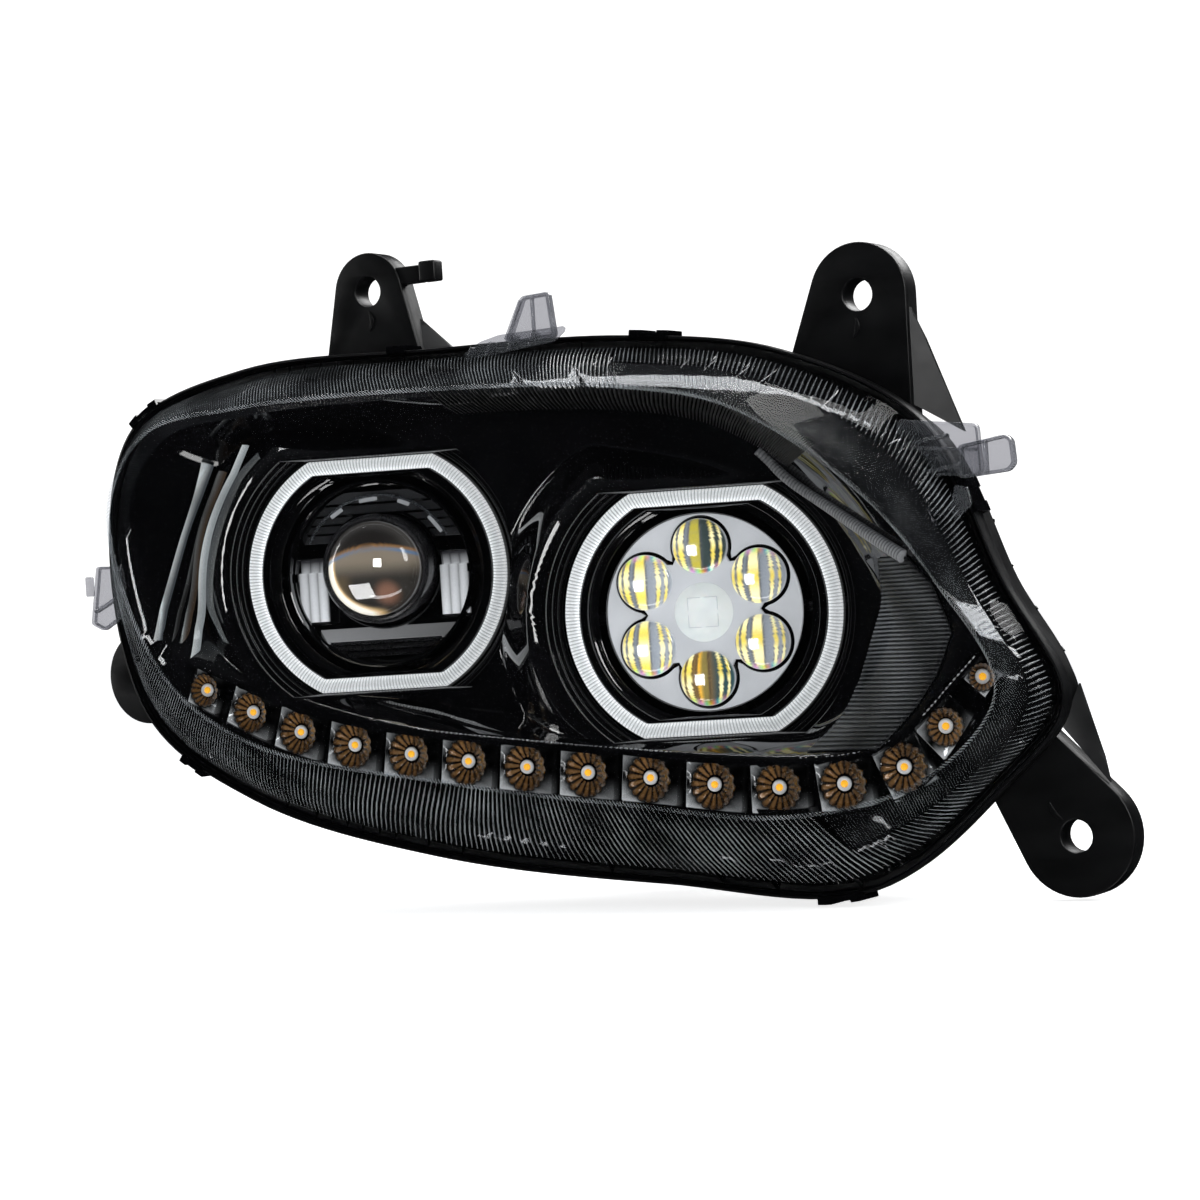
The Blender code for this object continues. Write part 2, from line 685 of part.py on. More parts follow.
def make_signal_strip():
    reflector = place("signal_reflector",
                      closed_loft(strip_rows(STRIP_FRONT_W, STRIP_BACK_W, 0), cap_first=True,
                                  cap_last=True), panel, "chrome")
    cups = bmesh.new()
    chips = bmesh.new()
    lie_back = Matrix.Rotation(math.radians(-90), 4, "X")
    for point, radius in signal_lights():
        wide = radius + (radius - 5) * 0.45
        cup_place = facing(point, STRIP_BACK_W) @ Matrix.Translation((0, -11 * MM, 0))
        bmesh.ops.create_cone(cups, cap_ends=True, segments=12, depth=CUP_DRILL * MM,
                              radius1=wide * 0.9 * MM, radius2=4.2 * MM,
                              matrix=cup_place @ lie_back)
        bmesh.ops.create_cone(chips, cap_ends=True, segments=6, depth=5 * MM,
                              radius1=CHIP_RADIUS * MM, radius2=CHIP_RADIUS * MM,
                              matrix=facing(point, -30) @ lie_back)
    for name, shape in (("signal_cups", cups), ("signal_chips", chips)):
        mesh = bpy.data.meshes.new(name)
        shape.to_mesh(mesh)
        shape.free()
        place(name, mesh, panel, None)
    boolean(reflector, bpy.data.objects["signal_cups"], "DIFFERENCE")
    board = place("signal_board",
                  closed_loft(strip_rows(STRIP_BACK_W + GAP, STRIP_BACK_W + 2, 2),
                              cap_first=True, cap_last=True), panel, "circuit_board")
    boolean(board, bpy.data.objects["signal_chips"], "UNION")


# ---------------------------------------------------------------- trim on the bezel's walls
def make_blades():
    for name, (finish, line, top_width, bottom_width) in BLADES.items():
        stations = smooth_run(line, 3)
        rows = []
        for i, point in enumerate(stations):
            share = i / (len(stations) - 1)
            half = (top_width + (bottom_width - top_width) * share) / 2
            along = (stations[min(i + 1, len(stations) - 1)]
                     - stations[max(i - 1, 0)]).normalized()
            across = Vector((-along.y, along.x)) * half
            left, right = point - across, point + across
            base = min(bezel_depth(left.x, left.y), bezel_depth(right.x, right.y)) - BLADE_LIFT
            crest = base - BLADE_HEIGHT
            rows.append([(left.x, base, left.y), (left.x, crest, left.y),
                         (right.x, crest, right.y), (right.x, base, right.y)])
        place(name, closed_loft(rows, cap_first=True, cap_last=True), panel, finish)


def make_side_flutes():
    """A curved panel in front of the bezel's inboard wall."""
    columns = []
    for k in range(8):
        turn = math.radians(-28 + 29 * k / 7)
        turn_to = Vector((math.cos(turn), 0.62 * math.sin(turn))).normalized()
        inner, outer = polar_reach(bezel_floor, turn_to), polar_reach(bezel_lip, turn_to)
        columns.append([turn_to * (inner + (outer - inner) * share)
                        for share in (0.12, 0.5, 0.84)])
    rows = []
    for column in columns:
        face = [(p.x, bezel_depth(p.x, p.y) - 8, p.y) for p in column]
        back = [(p.x, bezel_depth(p.x, p.y) - 5.6, p.y) for p in reversed(column)]
        rows.append(face + back)
    place("side_flute_panel", closed_loft(rows, cap_first=True, cap_last=True), panel,
          "silver_trim")


def make_brow():
    line = smooth_run(BROW_LINE, 3)
    spots = [(spot.x, bezel_depth(spot.x, spot.y) - 10, spot.y) for spot in line]
    place("brow_trim", tube_mesh(spots, BROW_RADIUS), panel, "light_guide")


# ---------------------------------------------------------------- low-beam module
def make_low_module():
    frame = turned("low_module_frame", low, "bezel_black",
                   [(MODULE_RADIUS, MODULE_BACK), (MODULE_RADIUS, MODULE_FRONT),
                    (MODULE_RADIUS - 2.4, MODULE_FRONT), (CUP_RADIUS + 0.1, 26),
                    (20, 28), (20, MODULE_BACK)], steps=32)
    projector_axis = (0, 0, PROJECTOR_RISE)
    boolean(frame, rod("holder_passage", low, None, HOLDER_RADIUS + 0.6, 60,
                       (0, 30, PROJECTOR_RISE), steps=32), "DIFFERENCE")
    add_pivot_sockets(frame, low, "low")
    turned("low_lens_holder", low, "bezel_black",
           [(HOLDER_RADIUS, 35), (HOLDER_RADIUS, -7), (32.5, -9), (30.5, -9), (30.5, -6.5),
            (32.1, -6.5), (32.1, 35)], projector_axis)
    dome = [(30.1 * math.sin(a), -8.5 - 17.5 * math.cos(a))
            for a in (math.radians(d) for d in range(90, -1, -18))]
    turned("low_projector_lens", low, "glass",
           [(0, -1), (PROJECTOR_RADIUS, -1), (PROJECTOR_RADIUS, -6.1), (30.1, -6.1)]
           + dome[:-1] + [(0, dome[-1][1])], projector_axis, closed=False)
    turned("low_reflector_bowl", low, "chrome",
           [(12, 84), (26, 76), (35, 60), (37, 36.3), (35, 36.3), (33, 59), (24.5, 74),
            (12, 81.5)], projector_axis, steps=20)
    box("low_led_board", low, "circuit_board", (46, 2, 34), (0, 85.4, PROJECTOR_RISE))
    heat_sink("low_heat_sink", low, 86.7, PROJECTOR_RISE)
    inner = rod("low_cup_room", low, None, CUP_RADIUS, 80, (0, 30, 0), steps=32)
    keep_out = rod("low_holder_room", low, None, HOLDER_RADIUS + 0.4, 90,
                   (0, 20, PROJECTOR_RISE), steps=28)
    louvre = bar("low_upper_louvre", low, "bezel_black",
                 [(25, 52), (8, 52), (8, 46), (13, 46), (13, 35), (19, 35), (19, 24),
                  (25, 24)], 56)
    shelf = bar("low_shelf_reflector", low, "chrome",
                [(25, -34), (23, -34), (8, -47), (8, -49), (25, -49)], 48)
    boolean(louvre, inner, "INTERSECT")
    boolean(louvre, keep_out, "DIFFERENCE")
    boolean(shelf, inner, "INTERSECT")
    for name, side in (("left", -1), ("right", 1)):
        mirror = box("low_side_reflector_" + name, low, "chrome", (19, 3, 40),
                     (side * 45.8, 14, -8.5))
        boolean(mirror, inner, "INTERSECT")
    aim_nut("low_aim_nut", low)


def add_pivot_sockets(frame, lamp, prefix):
    socket = rod(prefix + "_pivot_bore", lamp, None, PIVOT_RADIUS + 0.5, 2 * 66,
                 (0, PIVOT_Y, 0), (0, math.radians(90), 0), steps=12)
    stop = rod(prefix + "_pivot_stop", lamp, None, 53, 60, (0, PIVOT_Y, 0), steps=32)
    boolean(socket, stop, "DIFFERENCE")
    boolean(frame, socket, "DIFFERENCE")


def heat_sink(name, lamp, front_y, height):
    """A finned block: a base with upright fins behind it, one comb outline."""
    half = (FINS - 1) * FIN_PITCH / 2 + FIN_WIDTH / 2
    comb = [(-half, 0), (half, 0)]
    for k in range(FINS):
        right = half - k * FIN_PITCH
        comb += [(right, FIN_BASE + FIN_REACH), (right - FIN_WIDTH, FIN_BASE + FIN_REACH)]
        if k < FINS - 1:
            comb += [(right - FIN_WIDTH, FIN_BASE), (right - FIN_PITCH, FIN_BASE)]
    place(name, plate_mesh([comb], FIN_HEIGHT), lamp, "aluminium", (0, front_y, height))


def aim_nut(name, lamp):
    nut = box(name, lamp, "nylon", (13, 10, 11), (0, PIVOT_Y, -AIM_ARM - 0.3))
    boolean(nut, rod(name + "_bore", lamp, None, SCREW_RADIUS + 0.9, 30,
                     (0, PIVOT_Y, -AIM_ARM), steps=16), "DIFFERENCE")


# ---------------------------------------------------------------- high-beam module
def flower(orbit, radius, steps=6):
    """Six round petals round a hub, one petal at the top, with a notch between neighbours."""
    half_turn = math.pi / 6
    notch = orbit * math.cos(half_turn) + 2
    outline = []
    for petal in range(6):
        middle = math.pi / 2 + petal * math.pi / 3
        centre = Vector((math.cos(middle), math.sin(middle))) * orbit
        corner = Vector((math.cos(middle - half_turn), math.sin(middle - half_turn))) * notch
        away = corner - centre
        start = math.atan2(away.y, away.x) + math.radians(8)
        sweep = 2 * (middle - start) % (2 * math.pi)
        outline.append(corner)
        outline += [centre + Vector((math.cos(start + sweep * k / steps),
                                     math.sin(start + sweep * k / steps))) * radius
                    for k in range(steps + 1)]
    return outline


def make_high_module():
    frame = turned("high_module_frame", high, "bezel_black",
                   [(MODULE_RADIUS, MODULE_BACK), (MODULE_RADIUS, MODULE_FRONT),
                    (MODULE_RADIUS - 1.1, MODULE_FRONT), (MODULE_RADIUS - 1.1, 8),
                    (44, 8), (44, MODULE_BACK)], steps=32)
    add_pivot_sockets(frame, high, "high")
    trim = plate("high_trim_plate", high, "silver_trim", [circle(DISC_RADIUS)], 3, 6)
    petals = flower(PETAL_ORBIT, PETAL_RADIUS)
    boolean(trim, plate("petal_opening", high, None, [petals], 0, 9), "DIFFERENCE")
    plate("high_optic", high, "optic", [scaled(petals, OPTIC_SHRINK, OPTIC_SHRINK)], -6, 7)
    plate("high_led_board", high, "circuit_board", [circle(43.4, 24)], 12, 14)
    heat_sink("high_heat_sink", high, MODULE_BACK + GAP, 0)
    aim_nut("high_aim_nut", high)


# ---------------------------------------------------------------- pivots and aim drives
def make_pivots_and_screws():
    reach = POD_RADIUS - POD_WALL - 0.5
    length, middle = reach - PIVOT_INNER_END, (reach + PIVOT_INNER_END) / 2
    for prefix, lamp in (("low", low), ("high", high)):
        for name, side in (("outboard", -1), ("inboard", 1)):
            rod(prefix + "_pivot_pin_" + name, lamp, "steel", PIVOT_RADIUS, length,
                (side * middle, PIVOT_Y, 0), (0, math.radians(90), 0), steps=12)
        turned(prefix + "_aim_screw", lamp, "steel",
               [(0, SCREW_END), (8, SCREW_END), (9, SCREW_END - 2), (9, SCREW_SHOULDER),
                (SCREW_RADIUS, SCREW_SHOULDER), (SCREW_RADIUS, SCREW_FRONT),
                (0, SCREW_FRONT)], (0, 0, -AIM_ARM), steps=12, closed=False)
        turned(prefix + "_aim_bush", lamp, "nylon",
               [(8, 165.5), (8, 136), (3.5, 136), (3.5, 165.5)], (0, 0, -AIM_ARM), steps=16)


# ---------------------------------------------------------------- rear of the housing
def make_rear_parts():
    for prefix, (along, up) in (("low", LOW_CAP), ("high", HIGH_CAP)):
        spot = (along, REAR_WALL_W, up)
        cap = turned(prefix + "_dust_cap", panel, "housing_black",
                     [(0, 17), (CAP_RADIUS - 2, 17), (CAP_RADIUS, 15), (CAP_RADIUS, 3),
                      (COLLAR_RADIUS + 0.5, 3), (COLLAR_RADIUS + 0.5, 14), (0, 14)],
                     spot, closed=False)
        grip = box(prefix + "_cap_grip", panel, None, (66, 12, 12),
                   (along, REAR_WALL_W + 22, up))
        boolean(cap, grip, "UNION")
        turned(prefix + "_cap_seal", panel, "rubber",
               [(39.4, 13.6), (39.4, 12.4), (36.6, 12.4), (36.6, 13.6)], spot)
    turned("vent_cap", panel, "rubber",
           [(0, 11), (8, 11), (10, 9), (10, 1.6), (5, 1.6), (5, -6), (0, -6)],
           (VENT[0], REAR_WALL_W, VENT[1]), steps=16, closed=False)
    make_driver()


def make_driver():
    along, up = DRIVER
    box("led_driver_case", panel, "plug_grey", (DRIVER_WIDTH, DRIVER_DEPTH, DRIVER_HEIGHT),
        (along, REAR_WALL_W + 9.6, up), rounding=2)
    lid = box("led_driver_lid", panel, "aluminium", (DRIVER_WIDTH, 3, DRIVER_HEIGHT),
              (along, REAR_WALL_W + 19.6, up))
    for k in range(LID_FINS):
        sideways = (k - (LID_FINS - 1) / 2) * LID_FIN_PITCH
        fin = box("lid_fin_%d" % k, panel, None, (3, 8, DRIVER_HEIGHT - 8),
                  (along + sideways, REAR_WALL_W + 24, up))
        boolean(lid, fin, "UNION")


def make_harness():
    """The cable from its grommet to the plug; returns where it ends."""
    along, up = CABLE_EXIT
    turned("cable_grommet", panel, "rubber",
           [(11, 5), (11, 1.6), (8, 1.6), (8, -5), (5.2, -5), (5.2, 5)],
           (along, REAR_WALL_W, up), steps=16)
    line = [(along, 118, up), (along, 134, up), (along, 143, up - 1), (along + 6, 152, up - 12),
            (along + 28, 157, up - 40), (along + 62, 157, up - 52)]
    place("wire_harness", tube_mesh(smooth_run(line, 3), CABLE_RADIUS), panel, "cable_jacket")
    return line[-1]


def make_plug(along, back, up):
    """The plug beside the cable's end, with a latch that lifts at its cable side."""
    box("plug_body", panel, "plug_grey", PLUG_SIZE, (along + 24, back, up), rounding=2)
    pivot = empty("plug_latch_pivot", panel, (along + 17.5, back, up + 15.4))
    thick = LATCH_HALF_THICKNESS
    section = [(-1.6, -thick), (-1.6, thick), (LATCH_REACH, thick), (LATCH_REACH, -thick)]
    rows = [[(x, side * LATCH_HALF_WIDTH, z) for x, z in section] for side in (-1, 1)]
    place("plug_latch", closed_loft(rows, cap_first=True, cap_last=True), pivot, "nylon")


# ---------------------------------------------------------------- lens retaining clips
def make_clips():
    for name, (chord, length) in CLIPS.items():
        start, end = parting[chord], parting[(chord + 1) % len(parting)]
        along = (end - start).normalized()
        outward = Vector((along.y, -along.x))
        middle = (start + end) / 2
        rows = []
        for side in (-0.5, 0.5):
            station = middle + along * (side * length)
            rows.append([((station + outward * out).x, depth, (station + outward * out).y)
                         for out, depth in CLIP_SECTION])
        place("lens_clip_" + name, closed_loft(rows, cap_first=True, cap_last=True), panel,
              "housing_black")


def main():
    make_housing()
    make_seal()
    make_lens()
    make_bezel()
    make_halo("low", low)
    make_halo("high", high)
    make_signal_strip()
    make_blades()
    make_side_flutes()
    make_brow()
    make_low_module()
    make_high_module()
    make_pivots_and_screws()
    make_rear_parts()
    make_plug(*make_harness())
    make_clips()


main()
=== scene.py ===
"""Looks of the dual-lamp LED vehicle headlight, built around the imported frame.

Sizes are in millimetres inside three design frames, and each frame's matrix turns them into
metres in the world:
- PANEL: x along the lamp, y straight back from the swept parting plane, z up;
- LOW and HIGH: the two lamps, with y straight back along the beam and z up.
"""
import json
import math

import bmesh
import bpy
from mathutils import Matrix, Vector

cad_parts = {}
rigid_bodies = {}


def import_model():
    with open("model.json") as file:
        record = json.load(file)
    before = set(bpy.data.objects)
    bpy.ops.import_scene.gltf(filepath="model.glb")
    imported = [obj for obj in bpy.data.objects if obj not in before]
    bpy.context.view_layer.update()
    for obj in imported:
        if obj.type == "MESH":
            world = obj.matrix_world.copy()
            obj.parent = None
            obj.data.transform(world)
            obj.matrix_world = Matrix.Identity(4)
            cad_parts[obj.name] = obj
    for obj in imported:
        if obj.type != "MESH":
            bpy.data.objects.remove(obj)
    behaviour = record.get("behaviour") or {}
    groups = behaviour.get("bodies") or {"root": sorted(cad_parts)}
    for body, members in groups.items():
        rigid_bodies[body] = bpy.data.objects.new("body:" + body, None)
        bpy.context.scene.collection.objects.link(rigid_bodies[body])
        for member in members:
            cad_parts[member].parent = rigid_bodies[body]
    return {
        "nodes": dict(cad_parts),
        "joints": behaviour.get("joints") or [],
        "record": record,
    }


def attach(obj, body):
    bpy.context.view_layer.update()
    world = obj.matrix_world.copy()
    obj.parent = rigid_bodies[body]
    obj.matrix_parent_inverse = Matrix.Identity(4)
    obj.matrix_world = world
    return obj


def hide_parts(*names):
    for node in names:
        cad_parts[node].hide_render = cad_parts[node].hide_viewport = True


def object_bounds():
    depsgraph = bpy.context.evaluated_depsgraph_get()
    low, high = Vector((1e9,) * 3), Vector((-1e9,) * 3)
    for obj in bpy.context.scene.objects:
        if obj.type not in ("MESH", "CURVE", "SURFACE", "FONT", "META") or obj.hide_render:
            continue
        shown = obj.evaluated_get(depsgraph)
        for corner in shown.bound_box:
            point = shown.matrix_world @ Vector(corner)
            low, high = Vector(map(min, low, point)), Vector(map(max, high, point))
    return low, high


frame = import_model()
cad_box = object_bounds()

MM = 0.001

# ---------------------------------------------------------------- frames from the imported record
MOUNTS = {mount["name"]: mount for mount in frame["record"]["mounts"]}
JOINTS = {joint["name"]: joint for joint in frame["joints"]}
SEAT_AXIS = MOUNTS["upper_inboard_bracket"]["axis"]
SWEEP = math.atan2(SEAT_AXIS[0], SEAT_AXIS[1])
SEAT_IN_PANEL = Vector((220, 30, 148.5))
PIVOT_Y = 30


def frame_matrix(origin, turn):
    """From millimetres in a design frame to metres in the world."""
    return Matrix.Translation(origin) @ Matrix.Rotation(turn, 4, "Z") @ Matrix.Scale(MM, 4)


PANEL_TURN = Matrix.Rotation(-SWEEP, 4, "Z")
PANEL_ORIGIN = (Vector(MOUNTS["upper_inboard_bracket"]["pos_m"])
                - PANEL_TURN @ SEAT_IN_PANEL * MM)
PANEL = frame_matrix(PANEL_ORIGIN, -SWEEP)
LOW = frame_matrix(Vector(JOINTS["low_aim"]["pos_m"]) - Vector((0, PIVOT_Y * MM, 0)), 0)
HIGH = frame_matrix(Vector(JOINTS["high_aim"]["pos_m"]) - Vector((0, PIVOT_Y * MM, 0)), 0)
LAMPS = {"low": LOW, "high": HIGH}

# ---------------------------------------------------------------- lines of the design
# In the panel frame, as (along, up), anticlockwise from the outboard end
PARTING_LINE = [
    (-330, 50), (-307, -64), (-225, -122), (-85, -161), (76, -180), (215, -186), (300, -128),
    (341, -80), (308, -9), (265, 84), (175, 134), (72, 152), (-66, 157), (-213, 157), (-304, 127),
]
FRONT_LINE = [
    (-284, 70), (-250, -34), (-183, -82), (-39, -111), (75, -126), (195, -137), (280, -117),
    (324, -70), (292, -8), (249, 45), (170, 100), (94, 118), (-26, 127), (-180, 128), (-252, 117),
]
BEZEL_LIP_LINE = [
    (-290, 64), (-283, 20), (-262, -16), (-225, -34), (-155, -57), (-73, -77.5), (5, -88),
    (90, -97), (216, -104), (250, -97), (276, -77), (301, -37), (291, -10), (249, 50),
    (169, 103), (88, 121), (-36, 129), (-187, 130), (-262, 115),
]
SIGNAL_LINE = [
    (-229, -48), (-158, -77.5), (-76, -94), (7, -104.5), (92, -113.5), (177, -121.5),
    (257, -112), (308.5, -63),
]
CROWN_W, FRONT_W, SHOULDER_W, FOOT_W = -74, -60, -32, 6
SHOULDER_RISE = 0.45            # share of the way from the foot to the front line
BEZEL_LIP_W, BEZEL_FLOOR_W = -46, -12
BEZEL_FLOOR_SCALE = (0.80, 0.86)
RIM_W, CHANNEL_W, WAIST_W = -4, 9.5, 45
REAR_WALL_W = 128
REAR_SECTIONS = ((95, 0.88), (119, 0.77), (128, 0.70))
REAR_CENTRE = Vector((0, -10))
LENS_WALL = 2.6
RIM_CLEARANCE = 2.8

# Lamps
HALO_RADIUS, HALO_FLAT, HALO_WIDTH = 84, 73.7, 12.2
POD_RADIUS, POD_FLAT, POD_FRONT = 96, 76.4, -9
DISC_RADIUS = 58.6
PROJECTOR_RISE, GLASS_RADIUS = 3.4, 30.1
PETAL_ORBIT, PETAL_RADIUS = 39.2, 18.0
AIM_ARM = 67

BRACKETS = {
    "upper_outboard": ((-123, 199), 25, (-160, 145), (-84, 148), 14, 30),
    "upper_inboard": ((220, 162), 31, (172, 124), (250, 84), 14, 30),
    "lower_inboard": ((335, -158), 35, (322, -96), (284, -132), 14, 30),
    "lower_outboard": ((-328, -38), 32, (-280, -66), (-300, 4), 26, 42),
}
HOLE_RADIUS, BOSS_RADIUS = 9.5, 17
LOW_CAP, HIGH_CAP, CAP_RADIUS = (-150, 14), (75, -12), 43
CABLE_EXIT = (-38, -82)
VENT = (150, 22)


# ---------------------------------------------------------------- lines
def spline_point(before, start, end, after, share):
    """A point on the centripetal Catmull-Rom curve between start and end."""
    points = [Vector(p) for p in (before, start, end, after)]
    knots = [0.0]
    for a, b in zip(points, points[1:]):
        knots.append(knots[-1] + max((b - a).length, 1e-6) ** 0.5)
    t = knots[1] + (knots[2] - knots[1]) * share

    def blend(p, q, t0, t1):
        return p * ((t1 - t) / (t1 - t0)) + q * ((t - t0) / (t1 - t0))

    first = [blend(points[i], points[i + 1], knots[i], knots[i + 1]) for i in range(3)]
    second = [blend(first[i], first[i + 1], knots[i], knots[i + 2]) for i in range(2)]
    return blend(second[0], second[1], knots[1], knots[2])


def smooth_loop(points, chords):
    count = len(points)
    line = []
    for i in range(count):
        corners = [points[(i + k) % count] for k in (-1, 0, 1, 2)]
        line += [spline_point(*corners, step / chords) for step in range(chords)]
    return line


def smooth_run(points, chords):
    ends = [Vector(points[0]) * 2 - Vector(points[1])]
    ends += [Vector(p) for p in points]
    ends.append(Vector(points[-1]) * 2 - Vector(points[-2]))
    line = []
    for i in range(len(points) - 1):
        line += [spline_point(*ends[i:i + 4], step / chords) for step in range(chords)]
    return line + [Vector(points[-1])]


def inset(loop, distance):
    """The loop moved inwards; loops run anticlockwise."""
    count = len(loop)
    moved = []
    for i, point in enumerate(loop):
        along = (loop[(i + 1) % count] - loop[i - 1]).normalized()
        moved.append(point + Vector((-along.y, along.x)) * distance)
    return moved


def between(loop, other, share):
    return [a.lerp(b, share) for a, b in zip(loop, other)]


def scaled(loop, factor_x, factor_y, centre=Vector((0, 0))):
    return [centre + Vector(((p.x - centre.x) * factor_x, (p.y - centre.y) * factor_y))
            for p in loop]


def flat_circle(radius, flat, arc_steps=48, flat_steps=1):
    """A circle cut off flat at the top and the bottom, anticlockwise."""
    reach = math.asin(min(1, flat / radius))
    right = [Vector((math.cos(a), math.sin(a))) * radius
             for a in (-reach + 2 * reach * k / arc_steps for k in range(arc_steps + 1))]
    top = [right[-1].lerp(Vector((-right[-1].x, right[-1].y)), k / flat_steps)
           for k in range(1, flat_steps)]
    half = right + top
    return half + [-p for p in half]


def circle(radius, centre=(0, 0), steps=64):
    return [Vector(centre) + Vector((math.cos(a), math.sin(a))) * radius
            for a in (2 * math.pi * k / steps for k in range(steps))]


def at_depth(loop, depth):
    return [(p.x, depth, p.y) for p in loop]


def round_row(reach, depth, centre=(0, 0), steps=72):
    """A ring about the y axis; reach is a radius, or a function that gives one at an angle."""
    points = []
    for k in range(steps):
        angle = 2 * math.pi * k / steps
        size = reach(angle) if callable(reach) else reach
        points.append((centre[0] + size * math.cos(angle), depth,
                       centre[1] + size * math.sin(angle)))
    return points


def resampled(loop, step, closed=True):
    """Points along a polyline at an even spacing close to the step."""
    points = [Vector(p) for p in loop]
    if closed:
        points.append(points[0])
    lengths = [0.0]
    for a, b in zip(points, points[1:]):
        lengths.append(lengths[-1] + (b - a).length)
    count = max(3, round(lengths[-1] / step))
    found = []
    at = 0
    for k in range(count if closed else count + 1):
        wanted = lengths[-1] * k / count
        while at < len(points) - 2 and lengths[at + 1] < wanted:
            at += 1
        share = (wanted - lengths[at]) / max(1e-9, lengths[at + 1] - lengths[at])
        found.append(points[at].lerp(points[at + 1], share))
    return found


# ---------------------------------------------------------------- mesh makers
def loft(shape, rows, closed_rows=False, cap_first=False, cap_last=False, closed_loops=True):
    """Adds a surface through rows of points, each row as long as the next."""
    rings = [[shape.verts.new(Vector(p)) for p in row] for row in rows]
    pairs = list(zip(rings, rings[1:]))
    if closed_rows:
        pairs.append((rings[-1], rings[0]))
    size = len(rings[0])
    for low, high in pairs:
        for i in range(size if closed_loops else size - 1):
            k = (i + 1) % size
            shape.faces.new((low[i], low[k], high[k], high[i]))
    if cap_first:
        shape.faces.new(list(reversed(rings[0])))
    if cap_last:
        shape.faces.new(rings[-1])
    return rings


def piece(name, shape, material, body, matrix, stands_for=(), crease=40, outward=True):
    """Turns a bmesh in a design frame into a piece that rides on a body."""
    if outward:
        bmesh.ops.recalc_face_normals(shape, faces=shape.faces)
    mesh = bpy.data.meshes.new(name)
    shape.to_mesh(mesh)
    shape.free()
    mesh.transform(matrix)
    mesh.shade_smooth()
    mesh.set_sharp_from_angle(angle=math.radians(crease))
    made = bpy.data.objects.new(name, mesh)
    bpy.context.scene.collection.objects.link(made)
    mesh.materials.append(material)
    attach(made, body)
    if stands_for:
        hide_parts(*stands_for)
    return made


def thicken(made, thickness, offset=-1):
    """Gives a shell its wall in millimetres, inwards by default."""
    wall = made.modifiers.new("wall", "SOLIDIFY")
    wall.thickness = thickness * MM
    wall.offset = offset


def lofted(name, rows, material, body, matrix, stands_for=(), crease=40, outward=True, **how):
    shape = bmesh.new()
    loft(shape, rows, **how)
    return piece(name, shape, material, body, matrix, stands_for, crease, outward)


def add_turned(shape, profile, centre=(0, 0, 0), steps=72, closed=True):
    """Adds a turned body about the y axis; the profile holds (radius, depth)."""
    middle = Vector(centre)
    rows = []
    for radius, depth in profile:
        reach = max(radius, 1e-4)
        rows.append([middle + Vector((reach * math.cos(a), depth, reach * math.sin(a)))
                     for a in (2 * math.pi * k / steps for k in range(steps))])
    loft(shape, rows, closed_rows=closed)
    bmesh.ops.remove_doubles(shape, verts=shape.verts, dist=0.001)


def turned(name, profile, material, body, matrix, centre=(0, 0, 0), steps=72, closed=True,
           stands_for=(), crease=40):
    shape = bmesh.new()
    add_turned(shape, profile, centre, steps, closed)
    return piece(name, shape, material, body, matrix, stands_for, crease)


def add_box(shape, size, centre, turn=None, rounding=0.0):
    """Adds a box with rounded edges, turned about its own centre."""
    made = bmesh.ops.create_cube(shape, size=1)["verts"]
    for vert in made:
        vert.co = Vector([vert.co[k] * size[k] for k in range(3)])
    if rounding:
        edges = list(dict.fromkeys(edge for vert in made for edge in vert.link_edges))
        result = bmesh.ops.bevel(shape, geom=edges, offset=rounding, segments=3, profile=0.5,
                                 affect="EDGES")
        rounded = [vert for face in result["faces"] for vert in face.verts]
        made = list(dict.fromkeys(rounded + [vert for vert in made if vert.is_valid]))
    matrix = Matrix.Translation(Vector(centre)) @ (turn or Matrix.Identity(4))
    for vert in made:
        vert.co = matrix @ vert.co


def add_plate(shape, outlines, front, back, rounding=0.6, centre=(0, 0)):
    """Adds a flat plate with rounded edges; outlines after the first are its holes."""
    drawn = bpy.data.curves.new("plate", "CURVE")
    drawn.dimensions = "2D"
    drawn.fill_mode = "BOTH"
    drawn.extrude = (back - front) / 2 - rounding
    drawn.bevel_depth = rounding
    drawn.offset = -rounding
    drawn.bevel_resolution = 2
    for outline in outlines:
        spline = drawn.splines.new("POLY")
        spline.points.add(len(outline) - 1)
        for point, spot in zip(spline.points, outline):
            point.co = (spot[0], spot[1], 0, 1)
        spline.use_cyclic_u = True
    holder = bpy.data.objects.new("drawn", drawn)
    bpy.context.scene.collection.objects.link(holder)
    bpy.context.view_layer.update()
    seen = holder.evaluated_get(bpy.context.evaluated_depsgraph_get())
    mesh = bpy.data.meshes.new_from_object(seen)
    bpy.data.objects.remove(holder)
    place = (Matrix.Translation((centre[0], (front + back) / 2, centre[1]))
             @ Matrix.Rotation(math.radians(90), 4, "X"))
    mesh.transform(place)
    shape.from_mesh(mesh)
    bpy.data.meshes.remove(mesh)
    bmesh.ops.remove_doubles(shape, verts=shape.verts, dist=0.001)


def add_tube(shape, points, radius, sides=12, swell=None, cap=True):
    """Adds a round tube along a line; swell(i) scales the radius at station i."""
    stations = [Vector(p) for p in points]
    side = Vector((0, 0, 1))
    rows = []
    for i, spot in enumerate(stations):
        ahead = stations[min(i + 1, len(stations) - 1)] - stations[max(i - 1, 0)]
        ahead.normalize()
        side = (side - ahead * side.dot(ahead)).normalized()
        other = ahead.cross(side)
        size = radius * (swell(i) if swell else 1)
        rows.append([spot + (side * math.cos(a) + other * math.sin(a)) * size
                     for a in (2 * math.pi * k / sides for k in range(sides))])
    loft(shape, rows, cap_first=cap, cap_last=cap)


